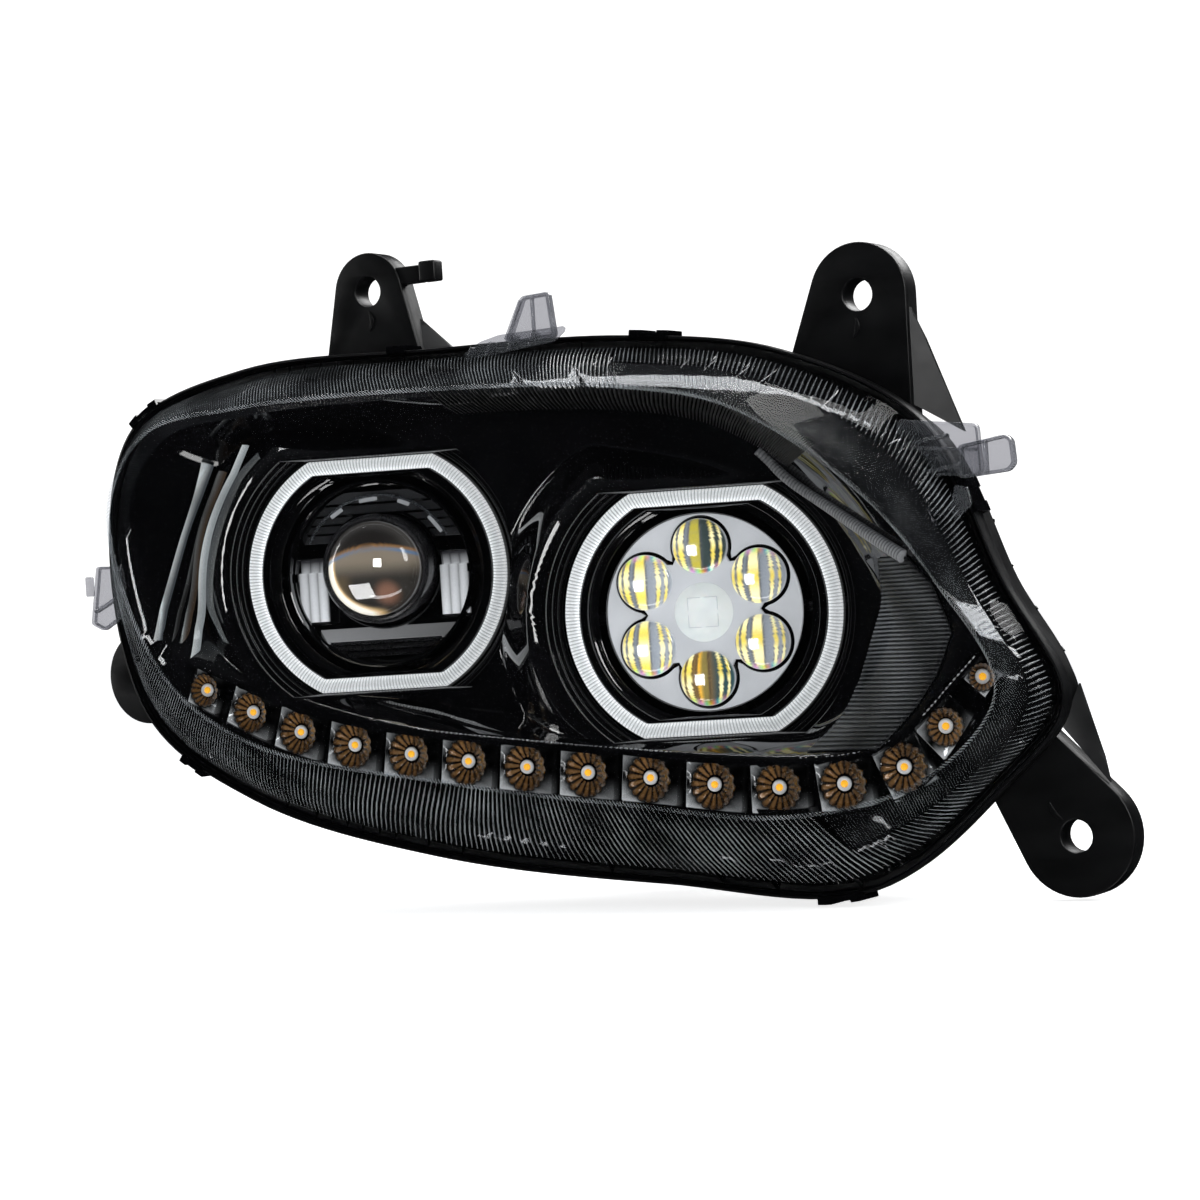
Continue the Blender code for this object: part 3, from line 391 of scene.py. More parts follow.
def add_bar(shape, points, outward, width, height, shine=None):
    """Adds a moulded rib: a rounded bar along a line, tapered to round ends.

    shine is a colour layer and the value that it gets along the rib's crest, as a painted highlight."""
    count = len(points)
    rows = []
    for i, spot in enumerate(points):
        ahead = (points[min(i + 1, count - 1)] - points[max(i - 1, 0)]).normalized()
        out = (outward[i] - ahead * outward[i].dot(ahead)).normalized()
        across = ahead.cross(out)
        taper = 0.45 if i in (0, count - 1) else 1.0
        half, tall = width / 2 * taper, height * taper
        section = ((-half, -0.3 * height), (-0.8 * half, 0.62 * tall), (0, tall),
                   (0.8 * half, 0.62 * tall), (half, -0.3 * height))
        rows.append([spot + across * x + out * y for x, y in section])
    rings = loft(shape, rows, cap_first=True, cap_last=True)
    if shine:
        layer, value = shine
        for ring in rings:
            for vert in ring:
                vert[layer] = (0, 0, 0, 1)
            ring[2][layer] = (value, value, value, 1)


# ---------------------------------------------------------------- material tools
class NodeTree:
    """The nodes of a material or a world, built up one node at a time."""

    def __init__(self, owner, output):
        owner.use_nodes = True
        self.owner = owner
        self.tree = owner.node_tree
        self.tree.nodes.clear()
        self.output = self.add(output)
        self.places = self.add("TexCoord")

    def add(self, kind, settings=None, **inputs):
        node = self.tree.nodes.new("ShaderNode" + kind)
        for key, value in (settings or {}).items():
            setattr(node, key, value)
        for key, value in inputs.items():
            self.feed(node, key.replace("_", " "), value)
        return node

    def feed(self, node, socket, value):
        slot = node.inputs[int(socket)] if socket.isdigit() else node.inputs[socket]
        if isinstance(value, bpy.types.NodeSocket):
            self.tree.links.new(value, slot)
        elif isinstance(value, bpy.types.Node):
            self.tree.links.new(value.outputs[0], slot)
        else:
            slot.default_value = value

    def ramp(self, value, *stops):
        node = self.add("ValToRGB", Fac=value)
        elements = node.color_ramp.elements
        while len(elements) < len(stops):
            elements.new(0.5)
        for element, (place, colour) in zip(elements, stops):
            element.position = place
            element.color = (*colour, 1)
        return node.outputs["Color"]

    def mix(self, share, first, second):
        """One shader fading into another."""
        node = self.add("MixShader")
        for place, value in enumerate((share, first, second)):
            self.feed(node, str(place), value)
        return node

    def surface(self, shader):
        self.tree.links.new(shader.outputs[0], self.output.inputs["Surface"])
        return self.owner


class Finish(NodeTree):
    """A material with fine grain, wear and mottling worked out by nodes."""

    def __init__(self, name):
        super().__init__(bpy.data.materials.new(name), "OutputMaterial")

    def noise(self, scale, detail=3.0, roughness=0.55, stretch=None):
        spot = self.places.outputs["Object"]
        if stretch:
            spot = self.add("Mapping", Vector=spot, Scale=stretch).outputs[0]
        return self.add("TexNoise", Vector=spot, Scale=scale, Detail=detail,
                        Roughness=roughness).outputs["Fac"]

    def grey(self, value, low, high, start=0.0, end=1.0):
        """The value remapped from start..end to low..high."""
        node = self.add("MapRange", Value=value)
        for key, number in (("From Min", start), ("From Max", end), ("To Min", low),
                            ("To Max", high)):
            node.inputs[key].default_value = number
        return node.outputs[0]

    def maths(self, operation, first, second=0.0):
        node = self.add("Math", {"operation": operation})
        self.feed(node, "0", first)
        self.feed(node, "1", second)
        return node.outputs[0]

    def skin(self, ior, strength):
        """How much an outward face mirrors; a face met from behind mirrors nothing."""
        inside = self.add("NewGeometry").outputs["Backfacing"]
        facing = self.maths("SUBTRACT", 1.0, inside)
        share = self.maths("MULTIPLY", self.add("Fresnel", IOR=ior), strength)
        return self.maths("MULTIPLY", share, facing)

    def bump(self, height, distance, strength=1.0):
        return self.add("Bump", Height=height, Distance=distance, Strength=strength).outputs[0]

    def principled(self, colour, roughness, metallic=0.0, normal=None, **more):
        node = self.add("BsdfPrincipled")
        if isinstance(colour, tuple):
            colour = (*colour, 1)
        self.feed(node, "Base Color", colour)
        self.feed(node, "Roughness", roughness)
        self.feed(node, "Metallic", metallic)
        if normal is not None:
            self.feed(node, "Normal", normal)
        for key, value in more.items():
            self.feed(node, key.replace("_", " "), value)
        return node


def moulded_black():
    """Satin black polypropylene: fine grain, faint flow marks, slightly dusty."""
    f = Finish("moulded_black")
    grain = f.noise(2600, 2.0)
    flow = f.noise(22, 4.0, stretch=(1, 1, 3))
    colour = f.ramp(flow, (0.3, (0.0022, 0.0023, 0.0027)), (0.75, (0.0065, 0.0067, 0.0075)))
    rough = f.grey(f.noise(60, 5.0), 0.30, 0.46, 0.3, 0.7)
    bump = f.bump(grain, 0.00006, 0.5)
    return f.surface(f.principled(colour, rough, normal=bump, Specular_IOR_Level=0.55))


def gloss_black():
    """Piano black: deep colour, faint orange peel, a breath of dust."""
    f = Finish("gloss_black")
    peel = f.noise(140, 2.0)
    dust = f.noise(900, 3.0, 0.7)
    rough = f.grey(dust, 0.035, 0.12, 0.45, 0.8)
    colour = f.ramp(f.noise(30, 3.0), (0.3, (0.0012, 0.0012, 0.0015)), (0.8, (0.003, 0.003, 0.0036)))
    bump = f.bump(peel, 0.00002, 0.35)
    return f.surface(f.principled(colour, rough, normal=bump, Coat_Weight=0.6,
                                  Coat_Roughness=0.03))


def clear_plastic(name, haze, bounce, tint=(1, 1, 1), strength=1.0):
    """Clear polycarbonate as a thin film: mostly see-through, with a mirror-like skin.

    haze is the share of light that the moulded surface scatters."""
    f = Finish(name)
    scratches = f.noise(500, 4.0, 0.7, stretch=(1, 1, 0.15))
    rough = f.grey(scratches, bounce, bounce + 0.05, 0.5, 0.8)
    waves = f.bump(f.noise(36, 2.0), 0.0002, 0.1)
    clear = f.add("BsdfTransparent", Color=(*tint, 1))
    mirror = f.add("BsdfGlossy", Roughness=rough, Normal=waves)
    scatter = f.add("BsdfDiffuse", Color=(0.80, 0.84, 0.88, 1))
    film = f.mix(f.skin(1.45, strength), clear, mirror)
    haze_share = f.grey(f.noise(120, 3.0), haze * 0.7, haze * 1.3, 0.3, 0.7)
    return f.surface(f.mix(haze_share, film, scatter))


def ribbed_plastic(name, dark, light, power, strength=0.7):
    """Moulded clear flutes: see-through flanks, with a painted highlight along each crest."""
    f = Finish(name)
    stored = f.add("Attribute", {"attribute_name": "tone"}).outputs["Fac"]
    crest = f.maths("POWER", stored, power)
    patchy = f.grey(f.noise(26, 3.0), dark, light, 0.35, 0.65)
    share = f.maths("MULTIPLY", crest, patchy)
    clear = f.add("BsdfTransparent", Color=(0.88, 0.89, 0.90, 1))
    mirror = f.add("BsdfGlossy", Roughness=0.12)
    film = f.mix(f.skin(1.45, strength), clear, mirror)
    # The painted crest highlight: a pale grey with a faint glow, mixed in where the stored crest tone is
    # high.
    edge = f.principled((0.62, 0.66, 0.69), 0.25, Emission_Color=(0.8, 0.9, 0.95, 1),
                        Emission_Strength=0.06)
    return f.surface(f.mix(share, film, edge))


def chrome(name="chrome", tint=(0.86, 0.87, 0.89), roughness=0.06):
    """Vacuum-metallised plastic: near mirror, softly rippled."""
    f = Finish(name)
    ripple = f.bump(f.noise(90, 2.0), 0.0001, 0.25)
    rough = f.grey(f.noise(400, 4.0), roughness, roughness + 0.07, 0.4, 0.8)
    return f.surface(f.principled(tint, rough, 1.0, normal=ripple))


def toned(name, roughness, metallic, coat=0.0, glow=0.0, grain=0.12, specular=0.5):
    """A finish whose colour is stored on the mesh, with fine grain over it; glow gives that colour a
    painted glow.
    """
    f = Finish(name)
    stored = f.add("Attribute", {"attribute_name": "tone"}).outputs["Color"]
    speck = f.grey(f.noise(900, 3.0, 0.7), 1 - grain, 1 + grain, 0.3, 0.7)
    scale = f.add("VectorMath", {"operation": "SCALE"}, Scale=speck)
    f.feed(scale, "0", stored)
    colour = scale.outputs[0]
    rough = f.grey(f.noise(250, 2.0), roughness, roughness + 0.05, 0.3, 0.7)
    return f.surface(f.principled(colour, rough, metallic, Coat_Weight=coat,
                                  Coat_Roughness=0.03, Emission_Color=colour,
                                  Emission_Strength=glow, Specular_IOR_Level=specular))


def satin(name, tint, roughness, metallic, ripple=0.15):
    """Satin metallised or painted plastic with a fine flake."""
    f = Finish(name)
    flake = f.noise(1600, 2.0)
    low = tuple(c * 0.86 for c in tint)
    colour = f.ramp(f.noise(70, 3.0), (0.3, low), (0.7, tint))
    rough = f.grey(flake, roughness - 0.03, roughness + 0.07, 0.35, 0.7)
    bump = f.bump(flake, 0.00003, ripple)
    return f.surface(f.principled(colour, rough, metallic, normal=bump, Coat_Weight=0.2))


def silver(name, tint, roughness, metallic, glow):
    """Bright silver-grey trim, with a painted glow that stands in for the light it gathers inside the
    lamp.
    """
    f = Finish(name)
    flake = f.noise(1400, 2.0)
    low = tuple(c * 0.88 for c in tint)
    colour = f.ramp(f.noise(40, 4.0), (0.3, low), (0.7, tint))
    rough = f.grey(flake, roughness - 0.03, roughness + 0.08, 0.35, 0.7)
    return f.surface(f.principled(colour, rough, metallic, normal=f.bump(flake, 0.00002, 0.1),
                                  Emission_Color=colour, Emission_Strength=glow))


def projector_glass():
    """The polished outer skin of the projector's glass."""
    f = Finish("projector_glass")
    clear = f.add("BsdfTransparent", Color=(0.98, 0.985, 0.98, 1))
    mirror = f.add("BsdfGlossy", Roughness=f.grey(f.noise(60, 2.0), 0.008, 0.03, 0.4, 0.9))
    return f.surface(f.mix(f.skin(1.6, 1.6), clear, mirror))


def frosted():
    """Frosted silicone with a painted milky glow."""
    f = Finish("frosted_silicone")
    cloud = f.ramp(f.noise(90, 3.0), (0.3, (0.66, 0.69, 0.70)), (0.7, (0.80, 0.82, 0.81)))
    return f.surface(f.principled(cloud, 0.4, Coat_Weight=0.3, Coat_Roughness=0.3,
                                  Subsurface_Weight=0.2, Emission_Color=(0.9, 0.93, 0.9, 1),
                                  Emission_Strength=0.22))


def cast_aluminium():
    f = Finish("cast_aluminium")
    grain = f.noise(1300, 3.0)
    colour = f.ramp(f.noise(25, 4.0), (0.3, (0.34, 0.35, 0.36)), (0.75, (0.52, 0.53, 0.54)))
    rough = f.grey(grain, 0.34, 0.56, 0.3, 0.7)
    return f.surface(f.principled(colour, rough, 1.0, normal=f.bump(grain, 0.00012, 0.5)))


def zinc_steel():
    f = Finish("zinc_steel")
    lathe = f.noise(300, 2.0, stretch=(1, 14, 1))
    colour = f.ramp(f.noise(60, 3.0), (0.3, (0.45, 0.46, 0.47)), (0.7, (0.64, 0.64, 0.66)))
    return f.surface(f.principled(colour, f.grey(lathe, 0.22, 0.4, 0.3, 0.7), 1.0,
                                  normal=f.bump(lathe, 0.00008, 0.4)))


def plain_plastic(name, dark, light, roughness):
    """Moulded engineering plastic with fine grain and slight mottling."""
    f = Finish(name)
    grain = f.noise(1900, 2.0)
    colour = f.ramp(f.noise(45, 4.0), (0.3, dark), (0.75, light))
    rough = f.grey(f.noise(120, 3.0), roughness - 0.06, roughness + 0.1, 0.3, 0.7)
    return f.surface(f.principled(colour, rough, normal=f.bump(grain, 0.00008, 0.5)))


def woven_tape():
    """Cloth harness tape: a fine diagonal weave over black."""
    f = Finish("woven_tape")
    waves = []
    for stretch in ((1, 1, 1), (-1, 1, 1)):
        spot = f.add("Mapping", Vector=f.places.outputs["Object"], Scale=stretch).outputs[0]
        waves.append(f.add("TexWave", {"bands_direction": "DIAGONAL"}, Vector=spot,
                           Scale=520).outputs["Fac"])
    weave = f.maths("MULTIPLY", waves[0], waves[1])
    colour = f.ramp(weave, (0.1, (0.008, 0.008, 0.009)), (0.9, (0.035, 0.035, 0.037)))
    return f.surface(f.principled(colour, 0.75, normal=f.bump(weave, 0.0003, 0.8)))


def circuit_board():
    """White solder mask with faint copper tracks under it."""
    f = Finish("circuit_board")
    tracks = f.add("TexBrick", Vector=f.places.outputs["Object"], Scale=120,
                   Color1=(0.62, 0.64, 0.60, 1), Color2=(0.66, 0.68, 0.65, 1),
                   Mortar=(0.50, 0.53, 0.47, 1)).outputs["Color"]
    return f.surface(f.principled(tracks, f.grey(f.noise(300), 0.3, 0.45)))


def phosphor():
    f = Finish("amber_phosphor")
    colour = f.ramp(f.noise(1500, 2.0), (0.3, (0.90, 0.36, 0.01)), (0.7, (1.0, 0.55, 0.03)))
    return f.surface(f.principled(colour, 0.3, Coat_Weight=0.5, Emission_Color=colour,
                                  Emission_Strength=0.55))


# Each glow in this table is a painted glow that brightens the part's stored or given colour.
MATERIALS = {
    "housing": moulded_black(),
    "gloss": gloss_black(),
    "lens": clear_plastic("lens_clear", 0.0004, 0.02, strength=0.25),
    "flute": ribbed_plastic("lens_flutes", 0.10, 0.50, 1.8),
    "rope": ribbed_plastic("lens_rope", 0.14, 0.55, 1.6),
    "tab": clear_plastic("lens_tabs", 0.05, 0.06, tint=(0.62, 0.62, 0.64), strength=2.2),
    "guide": toned("light_guide", 0.14, 0.0, coat=1.0, glow=0.68, grain=0.10),
    "ceiling": toned("ceiling_ribs", 0.45, 0.0, glow=0.02, specular=0.12),
    "guide_dim": toned("guide_dim", 0.3, 0.1, coat=0.1, glow=0.06, specular=0.25),
    "chrome": chrome(),
    "blade": toned("blade_silver", 0.10, 0.85, coat=0.5, glow=0.45, grain=0.06),
    "satin": satin("satin_silver", (0.80, 0.82, 0.86), 0.24, 0.85),
    "satin_dark": satin("satin_dark", (0.26, 0.275, 0.30), 0.22, 0.85),
    "slat": satin("slat_grey", (0.075, 0.077, 0.082), 0.2, 0.5),
    "fluted": toned("side_flutes", 0.3, 0.2, glow=0.12, grain=0.08, specular=0.2),
    "cell": toned("signal_cell", 0.12, 0.8, coat=0.5, glow=0.40, grain=0.10),
    "shelf": toned("shelf_silver", 0.16, 0.6, coat=0.3, glow=0.35, grain=0.06),
    "satin_black": satin("satin_black", (0.022, 0.022, 0.024), 0.25, 0.0),
    "disc": silver("silver_disc", (0.60, 0.62, 0.65), 0.34, 0.25, 0.40),
    "web": silver("clear_web", (0.54, 0.56, 0.59), 0.2, 0.0, 0.34),
    "mirror": toned("side_mirror", 0.14, 0.3, coat=0.4, glow=0.45, grain=0.05),
    "cup": toned("signal_cup", 0.25, 0.25, coat=0.3, glow=0.08),
    "view": toned("projector_view", 0.5, 0.0, glow=0.5, grain=0.04),
    "petal": toned("petal", 0.08, 0.0, coat=1.0, glow=0.45, grain=0.07),
    "frosted": frosted(),
    "glass": projector_glass(),
    "package": plain_plastic("led_package", (0.74, 0.75, 0.76), (0.90, 0.90, 0.90), 0.35),
    "phosphor": phosphor(),
    "aluminium": cast_aluminium(),
    "steel": zinc_steel(),
    "nylon": plain_plastic("natural_nylon", (0.58, 0.57, 0.52), (0.72, 0.71, 0.66), 0.45),
    "rubber": plain_plastic("moulded_rubber", (0.010, 0.010, 0.010), (0.026, 0.026, 0.026), 0.75),
    "plug": plain_plastic("plug_grey", (0.055, 0.056, 0.060), (0.085, 0.086, 0.092), 0.42),
    "cable": woven_tape(),
    "board": circuit_board(),
}

# ---------------------------------------------------------------- shared outlines
LOOP_CHORDS = 12
parting = smooth_loop(PARTING_LINE, LOOP_CHORDS)
front = smooth_loop(FRONT_LINE, LOOP_CHORDS)
foot = inset(parting, RIM_CLEARANCE)
bezel_lip = smooth_loop(BEZEL_LIP_LINE, 6)
bezel_floor = scaled(bezel_lip, *BEZEL_FLOOR_SCALE)


# ---------------------------------------------------------------- housing
def make_housing():
    body = inset(parting, 9)
    rows = [at_depth(inset(parting, 2.4), RIM_W + 0.4), at_depth(inset(parting, 1.6), RIM_W - 0.5),
            at_depth(inset(parting, 0.4), RIM_W - 0.3), at_depth(inset(parting, 0.0), RIM_W + 0.8),
            at_depth(inset(parting, 0.0), 2), at_depth(inset(parting, 0.9), 2.8),
            at_depth(inset(parting, 0.9), CHANNEL_W - 0.6), at_depth(inset(parting, 1.6), CHANNEL_W + 0.9),
            at_depth(inset(parting, 7.6), CHANNEL_W + 1.2), at_depth(body, CHANNEL_W + 2.6)]
    for share in (0.33, 0.66, 1):
        rows.append(at_depth(inset(parting, 9 + 2 * share), CHANNEL_W + (WAIST_W - CHANNEL_W) * share))
    sections = [(WAIST_W, 0.965)] + list(REAR_SECTIONS)
    rear = [Vector((depth, size)) for depth, size in sections]
    for spot in smooth_run(rear[:3], 5)[1:]:
        rows.append(at_depth(scaled(parting, spot.y, spot.y, REAR_CENTRE), spot.x))
    for turn in (20, 45, 70, 90):
        angle = math.radians(turn)
        size = 0.77 - 0.045 * (1 - math.cos(angle))
        rows.append(at_depth(scaled(parting, size, size, REAR_CENTRE), 119 + 9 * math.sin(angle)))
    for size in (0.6, 0.4, 0.2, 0.02):
        rows.append(at_depth(scaled(parting, size, size, REAR_CENTRE), REAR_WALL_W))
    shape = bmesh.new()
    loft(shape, rows, cap_last=True)
    shell = piece("housing_shell", shape, MATERIALS["housing"], "lamp", PANEL, ["rear_housing"],
                  35)
    thicken(shell, 2.2)


def tongue(centre, radius, foot_a, foot_b, steps=28):
    """The outline of a bracket: two feet, joined by tangents to a round end."""
    middle = Vector(centre)

    def tangent_angle(foot_point, side):
        away = Vector(foot_point) - middle
        return math.atan2(away.y, away.x) + side * math.acos(min(1, radius / away.length))

    start = tangent_angle(foot_a, -1)
    end = tangent_angle(foot_b, 1)
    while end > start:
        end -= 2 * math.pi
    arc = [middle + Vector((math.cos(a), math.sin(a))) * radius
           for a in (start + (end - start) * k / steps for k in range(steps + 1))]
    loop = [Vector(foot_a)] + arc + [Vector(foot_b)]
    return list(reversed(loop))


def crescent(centre, long, wide, turn):
    """A leaf-shaped outline, for the shallow mark left by the moulding gate."""
    points = []
    for side in (1, -1):
        for k in range(9):
            share = k / 8 if side == 1 else 1 - k / 8
            bow = math.sin(math.pi * share) * (wide if side == 1 else wide * 0.15)
            points.append(Vector((bow, (share - 0.5) * long)))
    del points[9]
    points.pop()
    spin = Matrix.Rotation(turn, 2)
    return [Vector(centre) + spin @ p for p in points]


def make_bracket(name):
    centre, radius, foot_a, foot_b, face, seat = BRACKETS[name]
    outline = tongue(centre, radius, foot_a, foot_b)
    hole = circle(HOLE_RADIUS, centre, 40)
    shape = bmesh.new()
    add_plate(shape, [outline, hole], face, face + 4, 0.9)
    add_plate(shape, [outline, inset(outline, 3.4)], face + 1.4, seat, 0.7)
    add_plate(shape, [circle(BOSS_RADIUS, centre, 40), circle(HOLE_RADIUS, centre, 40)],
              face + 1.2, seat, 0.8)
    middle = Vector(centre)
    root = (Vector(foot_a) + Vector(foot_b)) / 2
    down = (root - middle).normalized()
    across = Vector((-down.y, down.x))
    reach = (root - middle).length
    for side in (-0.42, 0.42):
        start = middle + down * (BOSS_RADIUS - 1) + across * (side * BOSS_RADIUS * 1.4)
        end = middle + down * reach + across * (side * radius * 1.7)
        along = (end - start).normalized()
        half = Vector((-along.y, along.x)) * 1.2
        add_plate(shape, [[start - half, start + half, end + half, end - half]],
                  face + 1.6, seat - 1, 0.4)
    spot = middle + down * (BOSS_RADIUS + 1.5)
    add_plate(shape, [crescent(spot, 13, 3.4, math.atan2(down.y, down.x) + math.pi / 2)],
              face - 0.7, face + 1, 0.3)
    piece("bracket_" + name, shape, MATERIALS["housing"], "lamp", PANEL, (), 35, outward=False)


def make_gussets():
    """Side wings that spread each ear's load into the housing."""
    wings = {
        "upper_inboard": ((251, 152), (249, 96), (272, 78)),
        "upper_outboard": ((-100, 188), (-87, 152), (-68, 152)),
        "lower_inboard": ((356, -128), (330, -96), (333, -72)),
    }
    for name, (tip, inner, outer) in wings.items():
        face, seat = BRACKETS[name][4:]
        rows = []
        for offset in (0, 2.6):
            rows.append([(tip[0], face + 4 + offset, tip[1]), (inner[0], face + 3 + offset, inner[1]),
                         (outer[0], seat + 8 + offset, outer[1]),
                         (tip[0] + (outer[0] - tip[0]) * 0.25, seat - 4 + offset,
                          tip[1] + (outer[1] - tip[1]) * 0.25)])
        lofted("gusset_" + name, rows, MATERIALS["housing"], "lamp", PANEL, cap_first=True,
               cap_last=True)


def make_cable_clip():
    """The open hook on the upper outboard ear that holds the wires."""
    shape = bmesh.new()
    add_box(shape, (27, 9, 11), (-97, 20, 207), rounding=1.2)
    add_box(shape, (12, 11, 13), (-78, 20, 208), rounding=1.4)
    add_box(shape, (3, 10, 20), (-105, 21, 202), rounding=0.8)
    piece("cable_clip", shape, MATERIALS["housing"], "lamp", PANEL)


# ---------------------------------------------------------------- lens
class LensWall:
    """The flared side wall of the lens, from its foot (0) to its front edge (1)."""

    def __init__(self, step):
        self.foot = resampled(foot, step)
        self.size = len(self.foot)
        self.front = self.matched(front)

    def matched(self, loop):
        """The front loop's points that answer the evenly spaced foot points."""
        found = []
        count = len(foot)
        at = 0
        for spot in self.foot:
            best = min(range(at - 3, at + 10),
                       key=lambda k: (foot[k % count] - spot).length)
            at = best
            ahead, behind = foot[(best + 1) % count], foot[(best - 1) % count]
            here = foot[best % count]
            if (ahead - spot).length < (behind - spot).length:
                a, b, first, second = here, ahead, best, best + 1
            else:
                a, b, first, second = behind, here, best - 1, best
            span = b - a
            share = max(0, min(1, (spot - a).dot(span) / span.length_squared))
            found.append(loop[first % count].lerp(loop[second % count], share))
        return found

    def point(self, index, rise, sink=0.0):
        """A point on the wall; index may be a fraction, and sink goes into the wall."""
        low = int(math.floor(index))
        share = index - low
        a = self.foot[low % self.size].lerp(self.foot[(low + 1) % self.size], share)
        b = self.front[low % self.size].lerp(self.front[(low + 1) % self.size], share)
        flat = a.lerp(b, rise)
        if rise < SHOULDER_RISE:
            depth = -1 + (SHOULDER_W + 1) * rise / SHOULDER_RISE
        else:
            depth = SHOULDER_W + (FRONT_W - SHOULDER_W) * (rise - SHOULDER_RISE) / (1 - SHOULDER_RISE)
        spot = Vector((flat.x, depth, flat.y))
        if sink:
            spot -= self.normal(index, rise) * sink
        return spot

    def normal(self, index, rise):
        along = self.point(index + 0.5, rise) - self.point(index - 0.5, rise)
        up = self.point(index, rise + 0.01) - self.point(index, rise - 0.01)
        return along.cross(up).normalized()


def lens_crown(share):
    return FRONT_W + (CROWN_W - FRONT_W) * (1 - share * share)


def make_lens():
    profile = [(0, FOOT_W), (0, -0.5), (0.01, -2.2)]
    profile += [(0.06 + 0.33 * k / 4, SHOULDER_W * (0.06 + 0.33 * k / 4) / SHOULDER_RISE - 0.8)
                for k in range(5)]
    profile += [(0.43, -30.6), (0.45, -31.9), (0.475, -33.0)]
    profile += [(rise, SHOULDER_W + (FRONT_W - SHOULDER_W) * (rise - 0.45) / 0.55)
                for rise in (0.55, 0.7, 0.85, 0.95)]
    rows = []
    for rise, depth in profile:
        rows.append(at_depth(between(foot, front, rise), depth))
    rows.append(at_depth(front, FRONT_W - 0.6))
    for share in (0.985, 0.96, 0.92, 0.85, 0.75, 0.62, 0.48, 0.34, 0.2, 0.08):
        rows.append(at_depth(scaled(front, share, share), lens_crown(share) - 0.5))
    shape = bmesh.new()
    loft(shape, rows, cap_last=True)
    shell = piece("lens_shell", shape, MATERIALS["lens"], "lamp", PANEL, ["lens_cover"], 50)
    thicken(shell, LENS_WALL)


# Pitch of the moulded flutes round the lens: (angle about the middle in degrees, millimetres)
FLUTE_PITCH = [(-180, 1.9), (-150, 2.6), (-125, 3.8), (-90, 4.3), (-40, 4.2), (-15, 3.6),
               (30, 3.6), (60, 3.0), (90, 2.6), (135, 2.3), (165, 1.8), (180, 1.9)]


def interpolated(table, value):
    for (low, first), (high, second) in zip(table, table[1:]):
        if low <= value <= high:
            return first + (second - first) * (value - low) / (high - low)
    return table[-1][1]


def chevron(angle):
    """How strongly the flutes split into a wide and a fine row: 1 at the inboard end."""
    return max(0.0, min(1.0, (angle + 42) / 12)) * max(0.0, min(1.0, (72 - angle) / 18))


def make_flutes():
    wall = LensWall(1.0)
    wide, fine = bmesh.new(), bmesh.new()
    layers = {shape: shape.verts.layers.float_color.new("tone") for shape in (wide, fine)}
    index = 0.0
    while index < wall.size:
        spot = wall.foot[int(index) % wall.size]
        angle = math.degrees(math.atan2(spot.y, spot.x))
        pitch = interpolated(FLUTE_PITCH, angle)
        split = chevron(angle)
        end_rise = 0.965 if split < 0.3 else SHOULDER_RISE
        lean = -7 * split

        # light is the strength of the painted highlight along each bar's crest.
        def run(shape, start, low, high, drift, width, height, steps, light=1.0):
            rises = [low + (high - low) * k / steps for k in range(steps + 1)]
            places = [start + drift * k / steps for k in range(steps + 1)]
            points = [wall.point(i, r, 1.7) for i, r in zip(places, rises)]
            outward = [wall.normal(i, r) for i, r in zip(places, rises)]
            add_bar(shape, points, outward, width, height, (layers[shape], light))

        steps = 4 if end_rise > 0.5 else 2
        run(wide, index, 0.13, end_rise, lean, pitch * 0.62, 1.1, steps)
        if split >= 0.3:
            for half in (0.0, 0.5):
                run(fine, index + lean + half * pitch, SHOULDER_RISE + 0.02, 0.965,
                    18 * split, pitch * 0.31, 0.7, 2, 0.55)
        index += pitch
    piece("lens_flutes_wide", wide, MATERIALS["flute"], "lamp", PANEL, ["lens_cover"], 60)
    piece("lens_flutes_fine", fine, MATERIALS["flute"], "lamp", PANEL, ["lens_cover"], 60)


def make_rope_edge():
    """The small slanted scallops along the front edge of the lens, each with a painted highlight along its
    crest.
    """
    wall = LensWall(1.0)
    shape = bmesh.new()
    shine = shape.verts.layers.float_color.new("tone")
    line = [Vector((p.x, FRONT_W - 0.6, p.y)) for p in resampled(wall.front, 2.3)]
    count = len(line)
    for i, spot in enumerate(line):
        along = (line[(i + 1) % count] - line[i - 1]).normalized()
        out = Vector((-spot.x * 0.002, -1, -spot.z * 0.002))
        out = (out - along * out.dot(along)).normalized()
        across = along.cross(out)
        slant = (along * 0.75 + across * 0.65).normalized()
        centre = spot + out * 0.3
        add_bar(shape, [centre + slant * d for d in (-2.1, -0.8, 0.8, 2.1)], [out] * 4, 1.7, 1.1,
                (shine, 1))
    piece("lens_rope_edge", shape, MATERIALS["rope"], "lamp", PANEL, ["lens_cover"], 60)


# ---------------------------------------------------------------- bezel
def polar_reach(loop, direction):
    """How far the loop lies from the frame's centre in a direction."""
    best = 0
    for a, b in zip(loop, loop[1:] + loop[:1]):
        span = b - a
        cross = direction.x * span.y - direction.y * span.x
        if abs(cross) < 1e-9:
            continue
        reach = (a.x * span.y - a.y * span.x) / cross
        share = (a.x * direction.y - a.y * direction.x) / cross
        if reach > 0 and -1e-6 <= share <= 1 + 1e-6:
            best = max(best, reach)
    return best


def wall_depth(reach, inner, outer):
    """Depth of the bezel's face on a ray, before the pods are added."""
    share = max(0.0, min(1.0, (reach - inner) / (outer - inner)))
    eased = share + 0.10 * math.sin(math.pi * share)
    return BEZEL_FLOOR_W + (BEZEL_LIP_W - BEZEL_FLOOR_W) * eased


